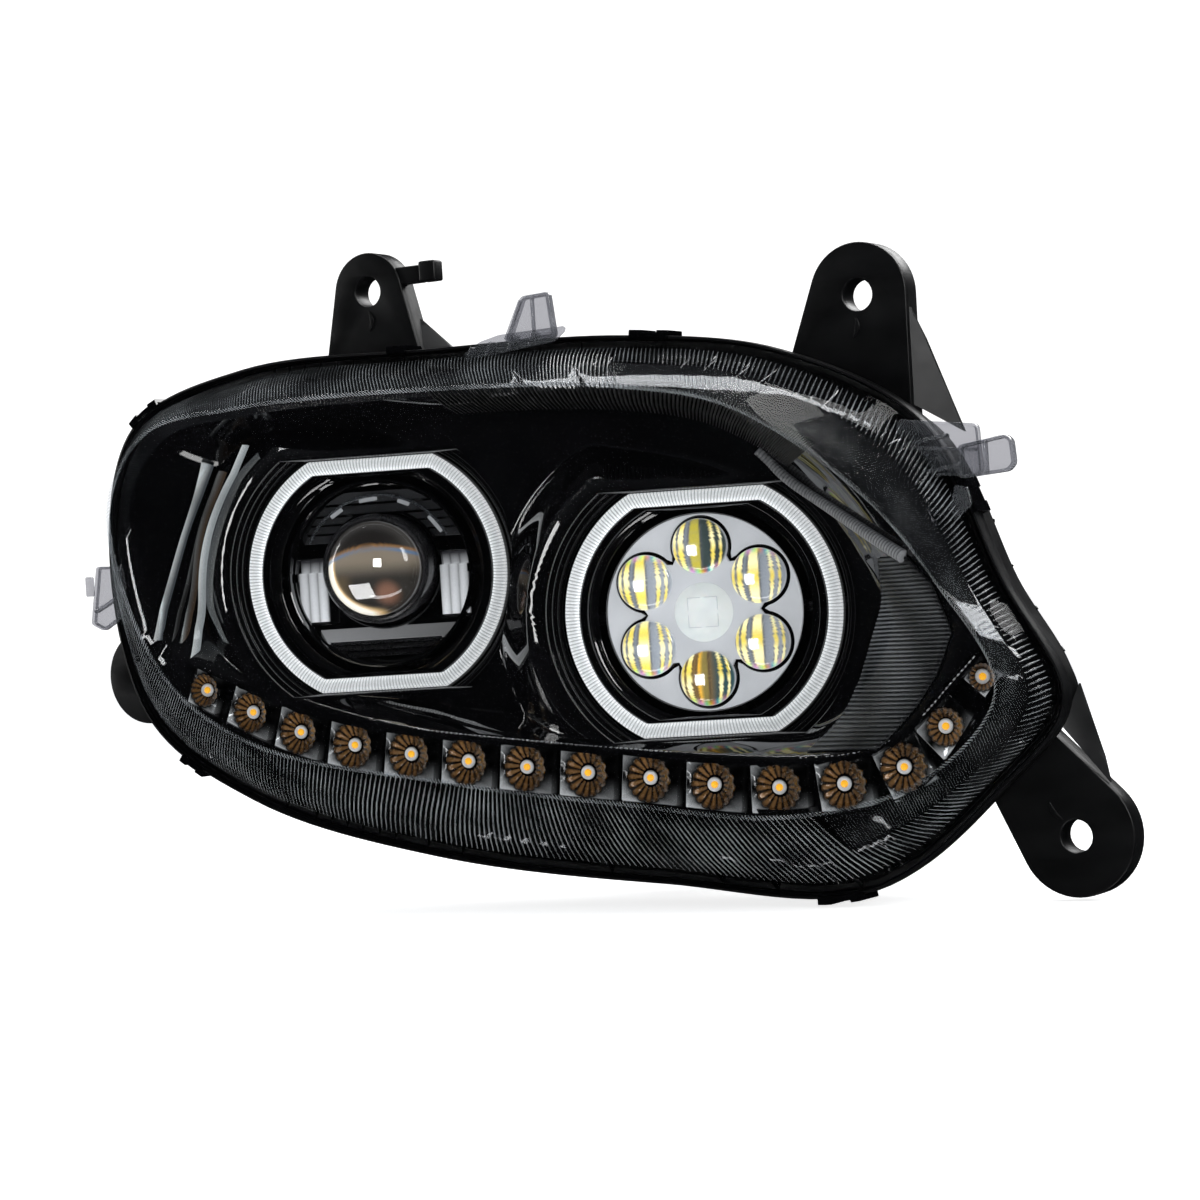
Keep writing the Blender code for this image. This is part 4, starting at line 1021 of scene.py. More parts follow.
def pod_depth(origin, along, up):
    """Panel depth of the horn that flares back from a lamp's pod."""
    depth = -20.0
    for _ in range(5):
        offset = Matrix.Rotation(-SWEEP, 4, "Z") @ (Vector((along, depth, up)) - origin)
        edge = max(math.hypot(offset.x, offset.z) - POD_RADIUS, abs(offset.z) - POD_FLAT)
        target = POD_FRONT + 0.5 + max(0.0, edge - 1) * 0.75 + max(0.0, edge - 1) ** 2 * 0.022
        depth += (target - offset.y) * 0.9
    return depth


POD_ORIGINS = {name: PANEL.inverted() @ matrix.translation for name, matrix in LAMPS.items()}


def bezel_depth(along, up, inner, outer):
    spot = Vector((along, up))
    levels = [wall_depth(spot.length, inner, outer)]
    levels += [pod_depth(origin, along, up) for origin in POD_ORIGINS.values()]
    sharpness = 0.45
    front_most = min(levels)
    total = sum(math.exp(-sharpness * (level - front_most)) for level in levels)
    return front_most - math.log(total) / sharpness


def ray_levels(x, z):
    """Where the bezel's floor and lip lie on the ray through a point."""
    direction = Vector((x, z)).normalized()
    return polar_reach(bezel_floor, direction), polar_reach(bezel_lip, direction)


def face_depth(x, z):
    """Depth of the bezel's face at a point."""
    return bezel_depth(x, z, *ray_levels(x, z))


def signal_distance(along, up, line):
    spot = Vector((along, up))
    best = 1e9
    for a, b in zip(line, line[1:]):
        span = b - a
        share = max(0, min(1, (spot - a).dot(span) / span.length_squared))
        best = min(best, (a.lerp(b, share) - spot).length)
    return best


def bezel_rows():
    """The bezel's rows, from its skirt inwards to its middle."""
    outer_loop = inset(front, 3.6)
    dense = resampled(outer_loop, 4.5)
    foot_dense = [foot[min(range(len(outer_loop)), key=lambda k: (outer_loop[k] - p).length)]
                  for p in dense]
    signal_line = smooth_run(SIGNAL_LINE, 4)
    rows = [at_depth(inset(foot_dense, 5), 3),
            at_depth(inset(between(foot_dense, dense, 0.42), 4), -27)]
    reaches = [ray_levels(*spot) for spot in dense]
    shares = [1 - 0.0105 * k for k in range(34)] + [0.643 - 0.03 * k for k in range(1, 21)]
    for share in shares:
        row = []
        for spot, (inner, outer) in zip(dense, reaches):
            x, z = spot.x * share, spot.y * share
            depth = bezel_depth(x, z, inner, outer)
            if share > 0.6 and z < 0 and signal_distance(x, z, signal_line) < 12:
                depth = -29
            row.append((x, depth, z))
        rows.append(row)
    return rows


def make_bore(name, matrix):
    """A solid as wide as a lamp's pod, to cut its opening through the bezel."""
    shape = bmesh.new()
    outline = flat_circle(POD_RADIUS - 1.2, POD_FLAT - 1.2)
    loft(shape, [at_depth(outline, -60), at_depth(outline, 90)], cap_first=True, cap_last=True)
    bmesh.ops.recalc_face_normals(shape, faces=shape.faces)
    mesh = bpy.data.meshes.new("bore")
    shape.to_mesh(mesh)
    shape.free()
    mesh.transform(matrix)
    bore = bpy.data.objects.new(name + "_bore", mesh)
    bpy.context.scene.collection.objects.link(bore)
    return bore


def make_bezel():
    shell = lofted("bezel_shell", bezel_rows(), MATERIALS["gloss"], "lamp", PANEL, ["bezel"], 55,
                   cap_last=True)
    thicken(shell, 2)
    bores = [make_bore(name, matrix) for name, matrix in LAMPS.items()]
    for bore in bores:
        cut = shell.modifiers.new("bore", "BOOLEAN")
        cut.operation = "DIFFERENCE"
        cut.solver = "EXACT"
        cut.object = bore
    bake_modifiers(shell)
    for bore in bores:
        bpy.data.objects.remove(bore)


def bake_modifiers(made):
    """Replaces a piece's mesh by the mesh that its modifiers make."""
    bpy.context.view_layer.update()
    seen = made.evaluated_get(bpy.context.evaluated_depsgraph_get())
    mesh = bpy.data.meshes.new_from_object(seen)
    made.modifiers.clear()
    made.data = mesh


def make_pods():
    """The stepped tunnel round each halo ring."""
    steps = [(96.4, 41), (96.4, -8.2), (96.0, -9.2), (95.0, -9.8), (94.0, -9.4), (93.3, -8.4),
             (93.0, -6.6), (90.6, -6.2), (90.0, -5.2), (89.8, -3.0), (88.0, -2.6), (87.4, -1.8),
             (87.2, 0.6), (85.8, 1.0), (85.3, 1.8), (85.0, 6.0), (94.0, 6.4), (94.0, 41)]
    drop = POD_RADIUS - POD_FLAT
    for name, matrix in LAMPS.items():
        rows = []
        for radius, depth in steps:
            flat = radius - drop if radius > 93 else radius - drop + 9 * (93 - radius) / 8
            rows.append(at_depth(flat_circle(radius, flat), depth))
        lofted(name + "_pod", rows, MATERIALS["gloss"], "lamp", matrix, ["bezel"], 30,
               closed_rows=True)


# ---------------------------------------------------------------- halo rings
def make_halo(name, matrix):
    """A ribbed light guide in the shape of a truncated circle, with painted thin bright lines near its
    rims.
    """
    outline = resampled(flat_circle(HALO_RADIUS, HALO_FLAT, 96, 2), 0.35)
    section = []
    for k in range(15):
        angle = math.pi * k / 14
        section.append((0.5 - 0.5 * math.cos(angle), math.sin(angle)))
    rows = []
    for i, spot in enumerate(outline):
        rib = abs(math.sin(math.pi * i / 6))
        angle_flat = abs(spot.y) > HALO_FLAT - 0.01
        inner = spot.copy()
        if angle_flat:
            inner.y -= math.copysign(HALO_WIDTH, spot.y)
            inner.x *= (HALO_RADIUS - HALO_WIDTH) / HALO_RADIUS * 0.985
        else:
            inner = spot.normalized() * (HALO_RADIUS - HALO_WIDTH)
            limit = HALO_FLAT - HALO_WIDTH
            inner.y = max(-limit, min(limit, inner.y))
        row = [(spot.x, 2.6, spot.y)]
        for share, rise in section:
            flat = spot.lerp(inner, 0.06 + 0.74 * share)
            row.append((flat.x, -1.6 - (3.4 + 0.75 * rib) * rise - 0.15 * rib, flat.y))
        foot_spot = spot.lerp(inner, 0.84)
        row.append((foot_spot.x, 2.6, foot_spot.y))
        rows.append(row)
    made = lofted(name + "_halo_ribs", rows, MATERIALS["guide"], "lamp", matrix,
                  [name + "_halo_guide"], 50, closed_rows=True)
    last = len(section) + 1

    # Painted shading: shade in the grooves between ribs, dark at the foot, brightest just inside each rim
    # and greyer towards the middle.
    def tone(row, column):
        groove_shade = 1 - 0.60 * (1 - abs(math.sin(math.pi * row / 6))) ** 1.5
        rim = min(column, last - column)
        edge = (0.03, 0.12, 0.75, 1.0, 0.92, 0.78, 0.66, 0.60)[min(rim, 7)]
        return (0.90 * groove_shade * edge, 0.93 * groove_shade * edge, 0.95 * groove_shade * edge)

    paint_rows(made, len(section) + 2, tone)


def make_halo_floor(name, matrix):
    """The black stepped ring between the halo and the lamp's own rim."""
    profile = [(74.4, 1.0), (74.0, -2.4), (73.4, -3.1), (72.6, -3.0), (72.0, -1.6), (70.2, -1.4),
               (69.6, -3.2), (69.2, -2.2), (69.0, 0.6), (68.0, 1.4),
               (67.4, 1.7), (67.0, 2.6), (66.8, 4.4), (65.6, 4.9), (65.0, 5.4), (64.7, 8.0)]
    rows = []
    for radius, depth in profile:
        flat = radius
        if radius > 66:
            flat = min(radius, HALO_FLAT - 9.9 + (radius - 74.4) * 0.3)
        rows.append(at_depth(flat_circle(radius, max(flat, 60.9), 72), depth))
    shape = bmesh.new()
    loft(shape, rows)
    made = piece(name + "_halo_floor", shape, MATERIALS["gloss"], "lamp", matrix,
                 [name + "_halo_bezel"], 30, outward=False)
    thicken(made, 0.8, 1)


# ---------------------------------------------------------------- painted tone on a mesh
def paint(made, tone):
    """Stores a colour for each point; tone takes the point's place in the world, in metres."""
    mesh = made.data
    layer = mesh.color_attributes.new("tone", "FLOAT_COLOR", "POINT")
    for vert, spot in zip(mesh.vertices, layer.data):
        spot.color = (*tone(vert.co), 1)


def paint_rows(made, width, tone):
    """Stores a colour for each point of a lofted piece; tone(row, column)."""
    layer = made.data.color_attributes.new("tone", "FLOAT_COLOR", "POINT")
    for index, spot in enumerate(layer.data):
        spot.color = (*tone(index // width, index % width), 1)


def ramp_between(value, low, high):
    share = max(0.0, min(1.0, (value - low) / (high - low)))
    return share * share * (3 - 2 * share)


def mixed(first, second, share):
    return tuple(a + (b - a) * share for a, b in zip(first, second))


# ---------------------------------------------------------------- turn-signal strip
STRIP_W = -44
PETALS = 16


def signal_half_height(share):
    return min(15.6, 12.9 + 13 * share, 9.2 + 45 * (1 - share))


def signal_cells():
    """Place, direction along, half length and half height of each light's cell."""
    line = smooth_run(SIGNAL_LINE, 2)
    last = len(line) - 1
    cells = []
    for i, point in enumerate(line):
        before = line[i - 1] if i else point * 2 - line[1]
        after = line[i + 1] if i < last else point * 2 - line[-2]
        along = (after - before).normalized()
        half = min((point - before).length, (after - point).length) / 2
        if i in (0, last):
            half = min(half, 13.5 if i == 0 else 11)
        cells.append((point, along, half, signal_half_height(i / last)))
    return cells


CUP_ANGLES = [2 * math.pi * k / (PETALS * 8) for k in range(PETALS * 8)]
CUP_LOBES = [abs(math.cos(PETALS * a / 2)) for a in CUP_ANGLES]
CUP_BROWN = (0.24, 0.12, 0.038)
CHIP_PROFILE = [(0, -3.4), (2.3, -3.4), (2.6, -3.8), (3.6, -3.8), (4.2, -3.3), (4.5, 0), (0, 0)]
DOME_PROFILE = [(0, -4.2), (0.9, -4.1), (1.6, -3.85), (2.1, -3.5), (2.1, -3.0), (0, -3.0)]


class SignalCell:
    """One of the strip's lights: a scalloped amber cup in a frame with painted highlights, with its chip.
    """

    def __init__(self, point, along, half, tall):
        self.point, self.along = point, along
        self.across = Vector((-along.y, along.x))
        self.radius = min(tall - 1.3, half - 3)
        self.edge_x, self.edge_z = half - 2.6, tall - 0.8
        self.rim = [self.radius * (0.93 + 0.07 * lobe) for lobe in CUP_LOBES]

    def place(self, x, z, depth, shift=0.0):
        """A point in the cell; shift moves what lies deeper back along the beam."""
        flat = self.point + self.along * x + self.across * z
        drop = depth - STRIP_W
        return (flat.x - drop * math.tan(SWEEP) * shift, depth, flat.y)

    def ring(self, reaches, depth, shift=0.0):
        return [self.place(r * math.cos(a), r * math.sin(a), depth, shift)
                for r, a in zip(reaches, CUP_ANGLES)]

    def frame_reach(self, angle, grow):
        """How far the cell's rectangular frame lies from its middle."""
        reach = min((self.edge_x + grow) / max(1e-6, abs(math.cos(angle))),
                    (self.edge_z + grow) / max(1e-6, abs(math.sin(angle))))
        return max(reach, self.radius + 0.9)

    def add_frame(self, shape, layer):
        rows = [self.ring(self.rim, STRIP_W + 0.5),
                self.ring([r + 0.5 for r in self.rim], STRIP_W)]
        for grow, depth in ((-0.5, STRIP_W + 1.6), (0.0, STRIP_W + 2.2), (0.0, STRIP_W + 9)):
            rows.append(self.ring([self.frame_reach(a, grow) for a in CUP_ANGLES], depth))
        # Painted highlights on the chrome frame: strongest at its corners, towards its bottom and the end
        # that comes first along the strip, with a bright band on that end of the fourth row.
        for level, ring in enumerate(loft(shape, rows)):
            for vert, a in zip(ring, CUP_ANGLES):
                corner = abs(math.sin(2 * a)) ** 2
                side = 0.5 - 0.5 * math.cos(a - 0.5)
                low = 0.75 + 0.25 * math.sin(a + math.pi)
                light = (0.03, 0.05, 0.95, 0.45, 0.02)[level] * corner * side * low
                if level == 3 and math.cos(a) < -0.75:
                    light = 0.7
                vert[layer] = (light * 0.96, light, light * 1.03, 1)

    def add_cup(self, shape, layer):
        rows = []
        for level in range(11):
            share = level / 10
            depth = STRIP_W + 0.5 + 10.5 * share ** 0.62
            row = []
            for r, a, lobe in zip(self.rim, CUP_ANGLES, CUP_LOBES):
                reach = r + (3.4 - r) * share
                flute = 1.3 * math.sin(math.pi * min(1, share * 1.1)) * lobe
                row.append(self.place(reach * math.cos(a), reach * math.sin(a), depth - flute, 1))
            rows.append(row)
        # The cup's amber-brown colour, with painted shade in the valleys between lobes and at the rim, and
        # painted light on one side.
        for level, ring in enumerate(loft(shape, rows, cap_last=True)):
            for vert, a, lobe in zip(ring, CUP_ANGLES, CUP_LOBES):
                valley_shade = ramp_between(lobe, 0.30, 0.86)
                side = 0.34 + 0.66 * ramp_between(-math.cos(a - 0.25), -0.65, 0.35)
                end = 0.25 + 0.75 * ramp_between(level / 10, 0.02, 0.24)
                vert[layer] = (*(c * valley_shade * side * end + 0.004 for c in CUP_BROWN), 1)

    def add_turned_part(self, shape, profile):
        """Adds a turned part that points along the beam from the cup's floor."""
        local = (Matrix.Translation(Vector(self.place(0, 0, STRIP_W + 10.6, 1)))
                 @ Matrix.Rotation(SWEEP, 4, "Z"))
        extra = bmesh.new()
        add_turned(extra, profile, steps=24, closed=False)
        bmesh.ops.transform(extra, matrix=local, verts=extra.verts)
        mesh = bpy.data.meshes.new("chip")
        extra.to_mesh(mesh)
        extra.free()
        shape.from_mesh(mesh)
        bpy.data.meshes.remove(mesh)


def make_signal_strip():
    frames, cups, chips, domes = bmesh.new(), bmesh.new(), bmesh.new(), bmesh.new()
    cup_tone = cups.verts.layers.float_color.new("tone")
    frame_tone = frames.verts.layers.float_color.new("tone")
    for measures in signal_cells():
        cell = SignalCell(*measures)
        cell.add_frame(frames, frame_tone)
        cell.add_cup(cups, cup_tone)
        cell.add_turned_part(chips, CHIP_PROFILE)
        cell.add_turned_part(domes, DOME_PROFILE)
    piece("signal_cells", frames, MATERIALS["cell"], "lamp", PANEL, ["signal_reflector"], 30,
          outward=False)
    piece("signal_cups", cups, MATERIALS["cup"], "lamp", PANEL, ["signal_reflector"], 25,
          outward=False)
    piece("signal_chips", chips, MATERIALS["package"], "lamp", PANEL, ["signal_board"], 40)
    piece("signal_phosphor", domes, MATERIALS["phosphor"], "lamp", PANEL, ["signal_board"], 60)
    make_strip_base()


def strip_edges(margin, chords):
    line = smooth_run(SIGNAL_LINE, chords)
    last = len(line) - 1
    low_edge, high_edge = [], []
    for i, point in enumerate(line):
        along = (line[min(i + 1, last)] - line[max(i - 1, 0)]).normalized()
        across = Vector((-along.y, along.x))
        spot = point
        if i == 0:
            spot = point - along * (13 - margin)
        if i == last:
            spot = point + along * (8.5 - margin)
        half = signal_half_height(i / last) - margin
        low_edge.append(spot - across * half)
        high_edge.append(spot + across * half)
    return low_edge, high_edge


def make_strip_base():
    """The black tray that holds the cells, and the stitched line along its top."""
    low_edge, high_edge = strip_edges(0, 8)
    low_in, high_in = strip_edges(1.2, 8)
    rows = []
    for a, b, c, d in zip(low_edge, high_edge, low_in, high_in):
        rows.append([(a.x, -33, a.y), (a.x, STRIP_W - 0.2, a.y), (c.x, STRIP_W - 0.4, c.y),
                     (c.x, -35, c.y), (d.x, -35, d.y), (d.x, STRIP_W - 0.4, d.y),
                     (b.x, STRIP_W - 0.2, b.y), (b.x, -33, b.y)])
    lofted("signal_tray", rows, MATERIALS["gloss"], "lamp", PANEL,
           ["signal_reflector", "signal_board"], 30, cap_first=True, cap_last=True)
    shape = bmesh.new()
    line = resampled(high_edge, 3.4, closed=False)
    for i in range(1, len(line) - 1):
        along = (line[i + 1] - line[i - 1]).normalized()
        flat = Vector((along.x, 0, along.y))
        spot = Vector((line[i].x, STRIP_W - 0.9, line[i].y)) + Vector((-along.y, 0, along.x)) * 1.2
        out = Vector((0, -1, 0))
        add_bar(shape, [spot + flat * d for d in (-1.3, -0.6, 0.6, 1.3)], [out] * 4, 1.0, 0.7)
    piece("signal_stitch_line", shape, MATERIALS["satin"], "lamp", PANEL, ["signal_reflector"], 60)


# ---------------------------------------------------------------- trim on the bezel
# Each blade's line, its widths at the top and the foot, its height, the strength of its painted crest
# highlight, and its face colour with painted reflection in it
BLADES = {
    "fin_wide": ([(-228, 97), (-248, 52), (-262, -14)], (8, 3.0, 6.0), 0.85, (0.07, 0.08, 0.09)),
    "fin_thin": ([(-222, 90), (-241, 46), (-253, -16)], (1.8, 1.4, 3.0), 0.10, (0.02, 0.02, 0.02)),
    "fin_amber": ([(-214, 91), (-234, 45), (-247, -17)], (4, 3.0, 5.0), 0.16, (0.06, 0.042, 0.03)),
    "fin_inner": ([(-190, 106), (-218, 44), (-238, -30)], (1.4, 2.6, 6.0), 1.0, (0.36, 0.40, 0.42)),
}


def make_blades():
    for name, (line, (top_width, foot_width, rise), crest_highlight, face_colour_and_reflection) in BLADES.items():
        stations = smooth_run(line, 14)
        last = len(stations) - 1
        floor = [face_depth(spot.x, spot.y) - 1.5 for spot in stations]
        rows = []
        for i, point in enumerate(stations):
            share = i / last
            spread = abs(share - 0.45) / 0.55
            half = (1.7 + ((top_width if share < 0.45 else foot_width) - 1.7) * spread ** 1.5) / 2
            along = (stations[min(i + 1, last)] - stations[max(i - 1, 0)]).normalized()
            across = Vector((-along.y, along.x)) * half
            left, right = point - across, point + across
            near = floor[max(0, i - 4):i + 5]
            base = sum(near) / len(near)
            crest = left.lerp(right, 0.16)
            slope = left.lerp(right, 0.93)
            rows.append([(left.x, base, left.y), (left.x, base - rise + 0.6, left.y),
                         (crest.x, base - rise, crest.y), (slope.x, base - 1.8, slope.y),
                         (right.x, base - 0.9, right.y), (right.x, base, right.y)])
        made = lofted("blade_" + name, rows, MATERIALS["blade"], "lamp", PANEL, [name], 30,
                      cap_first=True, cap_last=True)

        # A painted highlight along the crest and painted reflection on the face, both in bands along the
        # blade.
        def tone(row, column):
            highlight_pulse = 0.62 + 0.38 * abs(math.cos(1.9 * math.pi * row / last))
            if column in (1, 2):
                return tuple(c * crest_highlight * highlight_pulse for c in (0.93, 0.99, 1.0))
            return tuple(c * (0.7 + 0.6 * highlight_pulse) for c in face_colour_and_reflection)

        paint_rows(made, 6, tone)


FLUTE_STEP = 2.4
# The fluted panel's two upright edges, as (up, along)
FLUTED_START = [(-101, 196), (-62, 219), (-22, 235), (8, 241)]
FLUTED_END = [(-101, 243), (-77, 268), (-60, 281), (-37, 291), (-10, 281), (8, 264)]


def make_side_flutes():
    """A curved silver panel with fine level flutes, beside the inboard lamp."""
    low_up, high_up = FLUTED_END[0][0], FLUTED_END[-1][0]
    count = int((high_up - low_up) / FLUTE_STEP)
    columns = 19
    rows = []
    for k in range(count * 6 + 1):
        up = low_up + k * FLUTE_STEP / 6
        inner = interpolated(FLUTED_START, up)
        outer = interpolated(FLUTED_END, up)
        crest = abs(math.sin(math.pi * k / 6))
        row = []
        for column in range(columns):
            along = inner + (outer - inner) * column / (columns - 1)
            row.append((along, face_depth(along, up) - 1.2 - 0.9 * crest, up))
        rows.append(row)
    shape = bmesh.new()
    loft(shape, rows, closed_loops=False)
    made = piece("side_flutes", shape, MATERIALS["fluted"], "lamp", PANEL,
                 ["side_flute_panel"], 60, outward=False)

    # Painted highlights along the flute crests, fading across the panel and towards its top and bottom,
    # with a painted glint that wavers across it.
    def tone(row, column):
        crest = abs(math.sin(math.pi * row / 6)) ** 3
        across = column / (columns - 1)
        height = row / (count * 6)
        highlight_fade = (1 - 0.72 * across) * (0.35 + 0.65 * (1 - abs(height - 0.45) / 0.6))
        glint = 0.8 + 0.4 * math.sin(7 * across + 11 * height)
        light = 0.006 + 0.22 * crest * max(0.1, highlight_fade) * glint
        return (light * 0.92, light * 0.98, light * 1.04)

    paint_rows(made, columns, tone)
    thicken(made, 1.2)


def make_ceiling_ribs():
    """Fine upright ribs moulded into the bezel's ceiling, with a faint painted highlight along each crest.
    """
    shape = bmesh.new()
    shine = shape.verts.layers.float_color.new("tone")
    x = -34.0
    while x < 214:
        up = Vector((x, 100 - 0.12 * abs(x))).normalized()
        inner, outer = polar_reach(bezel_floor, up), polar_reach(bezel_lip, up)
        points, outs = [], []
        for share in (0.14, 0.4, 0.7, 0.95):
            spot = up * (inner + (outer - inner) * share)
            points.append(Vector((spot.x, bezel_depth(spot.x, spot.y, inner, outer) - 0.1, spot.y)))
            outs.append(Vector((0, -0.6, -0.8)))
        add_bar(shape, points, outs, 1.5, 0.7, (shine, 0.035))
        x += 2.5
    piece("bezel_ceiling_ribs", shape, MATERIALS["ceiling"], "lamp", PANEL, ["bezel"], 60)


def make_brow():
    """A dim ribbed guide that curves over the inboard lamp's shoulder."""
    line = resampled(smooth_run([(165, 75), (177, 61), (192, 49), (212, 37), (236, 23), (264, 7)],
                                8), 0.42, closed=False)
    points = [Vector((p.x, face_depth(p.x, p.y) - 3.0, p.y)) for p in line]
    count = len(points)
    shape = bmesh.new()
    add_tube(shape, points, 4.0, 14,
             swell=lambda i: (0.9 + 0.1 * abs(math.sin(math.pi * i / 5))) * (0.72 + 0.28 * i / count))
    made = piece("brow_guide", shape, MATERIALS["guide_dim"], "lamp", PANEL, ["brow_trim"], 60)

    # Painted highlights on the rib crests, stronger towards the end of the line, over darker grooves.
    def tone(row, column):
        light = 0.05 + 0.20 * abs(math.sin(math.pi * row / 5)) * (0.35 + 0.65 * row / count)
        return (light, light * 1.02, light * 1.05)

    paint_rows(made, 14, tone)


# ---------------------------------------------------------------- low-beam module
CUP_RADIUS = 56.4


def slat_outline(low_z, high_z, side, gap):
    """Part of a level band inside the cup, on one side of the projector, or across it."""
    outer = [Vector((side * math.sqrt(max(0, CUP_RADIUS ** 2 - z * z)), z))
             for z in (low_z + (high_z - low_z) * k / 8 for k in range(9))]
    if gap is None:
        other = [Vector((-p.x, p.y)) for p in reversed(outer)]
    else:
        other = []
        for k in range(9):
            z = high_z + (low_z - high_z) * k / 8
            inside = gap ** 2 - (z - PROJECTOR_RISE) ** 2
            other.append(Vector((side * math.sqrt(max(4, inside)), z)))
    return outer + other


def make_low_cup():
    profile = [(60.0, 35), (60.0, 3.2), (59.4, 2.2), (58.6, 2.0), (57.9, 2.5), (57.6, 4),
               (57.3, 9), (56.4, 9.4), (56.2, 10.6), (56.0, 26), (55, 27.5), (35.2, 28.2),
               (35.0, 29.5), (35.0, 35)]
    turned("low_cup", profile, MATERIALS["gloss"], "low_module", LOW, steps=128, closed=True,
           stands_for=["low_module_frame"], crease=30)
    shape = bmesh.new()
    for low_z, high_z, front_y, back_y, gap in (
            (45.5, 52.5, 7, 10, None), (38.6, 44.4, 12, 15, None), (33.2, 37.6, 15, 18, 36),
            (27.6, 32.4, 17, 20, 36), (21.5, 26.8, 20, 23, 36)):
        sides = (1,) if gap is None else (-1, 1)
        for side in sides:
            outline = slat_outline(low_z, high_z, side, gap)
            if side == -1:
                outline = list(reversed(outline))
            add_plate(shape, [outline], front_y, back_y, 0.6)
    piece("low_slats", shape, MATERIALS["slat"], "low_module", LOW, ["low_upper_louvre"], 30,
          outward=False)
    shape = bmesh.new()
    for angle, long in ((123, 9), (96, 12), (68, 8), (38, 13)):
        spin = math.radians(angle)
        spot = Vector((math.cos(spin), math.sin(spin))) * 47.5
        turn = Matrix.Rotation(-(spin - math.pi / 2), 4, "Y")
        add_box(shape, (long, 1.4, 2.8), (spot.x, 5.4, spot.y), turn, 0.65)
    windows = piece("low_rim_windows", shape, MATERIALS["shelf"], "low_module", LOW,
                    ["low_upper_louvre"])
    paint(windows, lambda co: (0.42, 0.44, 0.46))
    shape = bmesh.new()
    arc = [Vector((49.6 * math.cos(a), 5.2, 49.6 * math.sin(a)))
           for a in (math.radians(26 + 128 * k / 60) for k in range(61))]
    add_tube(shape, arc, 1.1, 10)
    piece("low_rim_arc", shape, MATERIALS["satin_dark"], "low_module", LOW, ["low_upper_louvre"],
          60)


def make_low_shelf():
    """The bright ledge under the projector and the dark steps below it."""
    def ledge(z_back, z_front, y_back, y_front, half_back, half_front, thick):
        return [[(-half_back, y_back, z_back), (-half_front, y_front, z_front),
                 (half_front, y_front, z_front), (half_back, y_back, z_back)],
                [(-half_back, y_back + thick, z_back - 0.4),
                 (-half_front, y_front + thick, z_front - 1.4),
                 (half_front, y_front + thick, z_front - 1.4),
                 (half_back, y_back + thick, z_back - 0.4)]]

    made = lofted("low_shelf", ledge(-33.2, -41.0, 22, 9, 45.5, 38.0, 1.2),
                  MATERIALS["shelf"], "low_module", LOW, ["low_shelf_reflector"], 20,
                  cap_first=True, cap_last=True)
    # Painted reflection: the ledge is pale at its -x end and darker towards +x.
    paint(made, lambda co: mixed((0.50, 0.51, 0.53), (0.24, 0.245, 0.25),
                                 ramp_between((LOW.inverted() @ co).x, -30, 40)))
    shape = bmesh.new()
    for z_back, z_front, y_back, y_front, half_back, half_front in (
            (-40.6, -42.4, 10, 8.4, 37, 35.5), (-44.2, -46.2, 15, 9, 34, 31),
            (-48.0, -50.4, 14, 8, 28, 24)):
        loft(shape, ledge(z_back, z_front, y_back, y_front, half_back, half_front, 2.0),
             cap_first=True, cap_last=True)
    piece("low_steps", shape, MATERIALS["satin_black"], "low_module", LOW,
          ["low_shelf_reflector"], 20)


def make_side_mirrors():
    """Two upright mirrors beside the projector, each three shallow flutes wide."""
    for name, side in (("left", -1), ("right", 1)):
        rows = []
        heights = (11.5, 10.5, 4.0, 3.2, -26.5, -28.0)
        for z in heights:
            row = []
            for k in range(19):
                x = side * (45.8 - 9 + k)
                flute = 0.9 * abs(math.sin(math.pi * k / 6))
                set_back = 6.5 if z > 3.6 else 0
                row.append((x, 12.6 - flute + set_back, z))
            row += [(side * 54.8, 16 + set_back * 0.5, z), (side * 36.8, 16 + set_back * 0.5, z)]
            rows.append(row)
        mirror = lofted("low_mirror_" + name, rows, MATERIALS["mirror"], "low_module", LOW,
                        ["low_side_reflector_" + name], 25, cap_first=True, cap_last=True)
        last_column = 18

        # Painted reflection: dark on the set-back top and the back, brighter towards the bottom, and
        # lighter on each flute's crest.
        def tone(row, column):
            if row < 2 or column > last_column:
                return (0.035, 0.035, 0.04)
            flute = abs(math.sin(math.pi * column / 6)) ** 0.5
            light = (0.06, 0.10, 0.55, 0.62, 0.92, 0.9)[row] * (0.45 + 0.55 * flute)
            return (light * 0.93, light * 0.96, light)

        paint_rows(mirror, last_column + 3, tone)
        shape = bmesh.new()
        add_box(shape, (20.5, 3, 1.2), (side * 45.8, 13.5, 12.4), rounding=0.4)
        add_box(shape, (1.2, 3, 42), (side * 56.2, 13.5, -8.5), rounding=0.4)
        add_box(shape, (20.5, 3, 1.2), (side * 45.8, 13.5, -29.4), rounding=0.4)
        add_box(shape, (1.0, 3.5, 5), (side * 55.4, 12.0, 0.5), rounding=0.3)
        piece("low_mirror_frame_" + name, shape, MATERIALS["gloss"], "low_module", LOW,
              ["low_side_reflector_" + name])


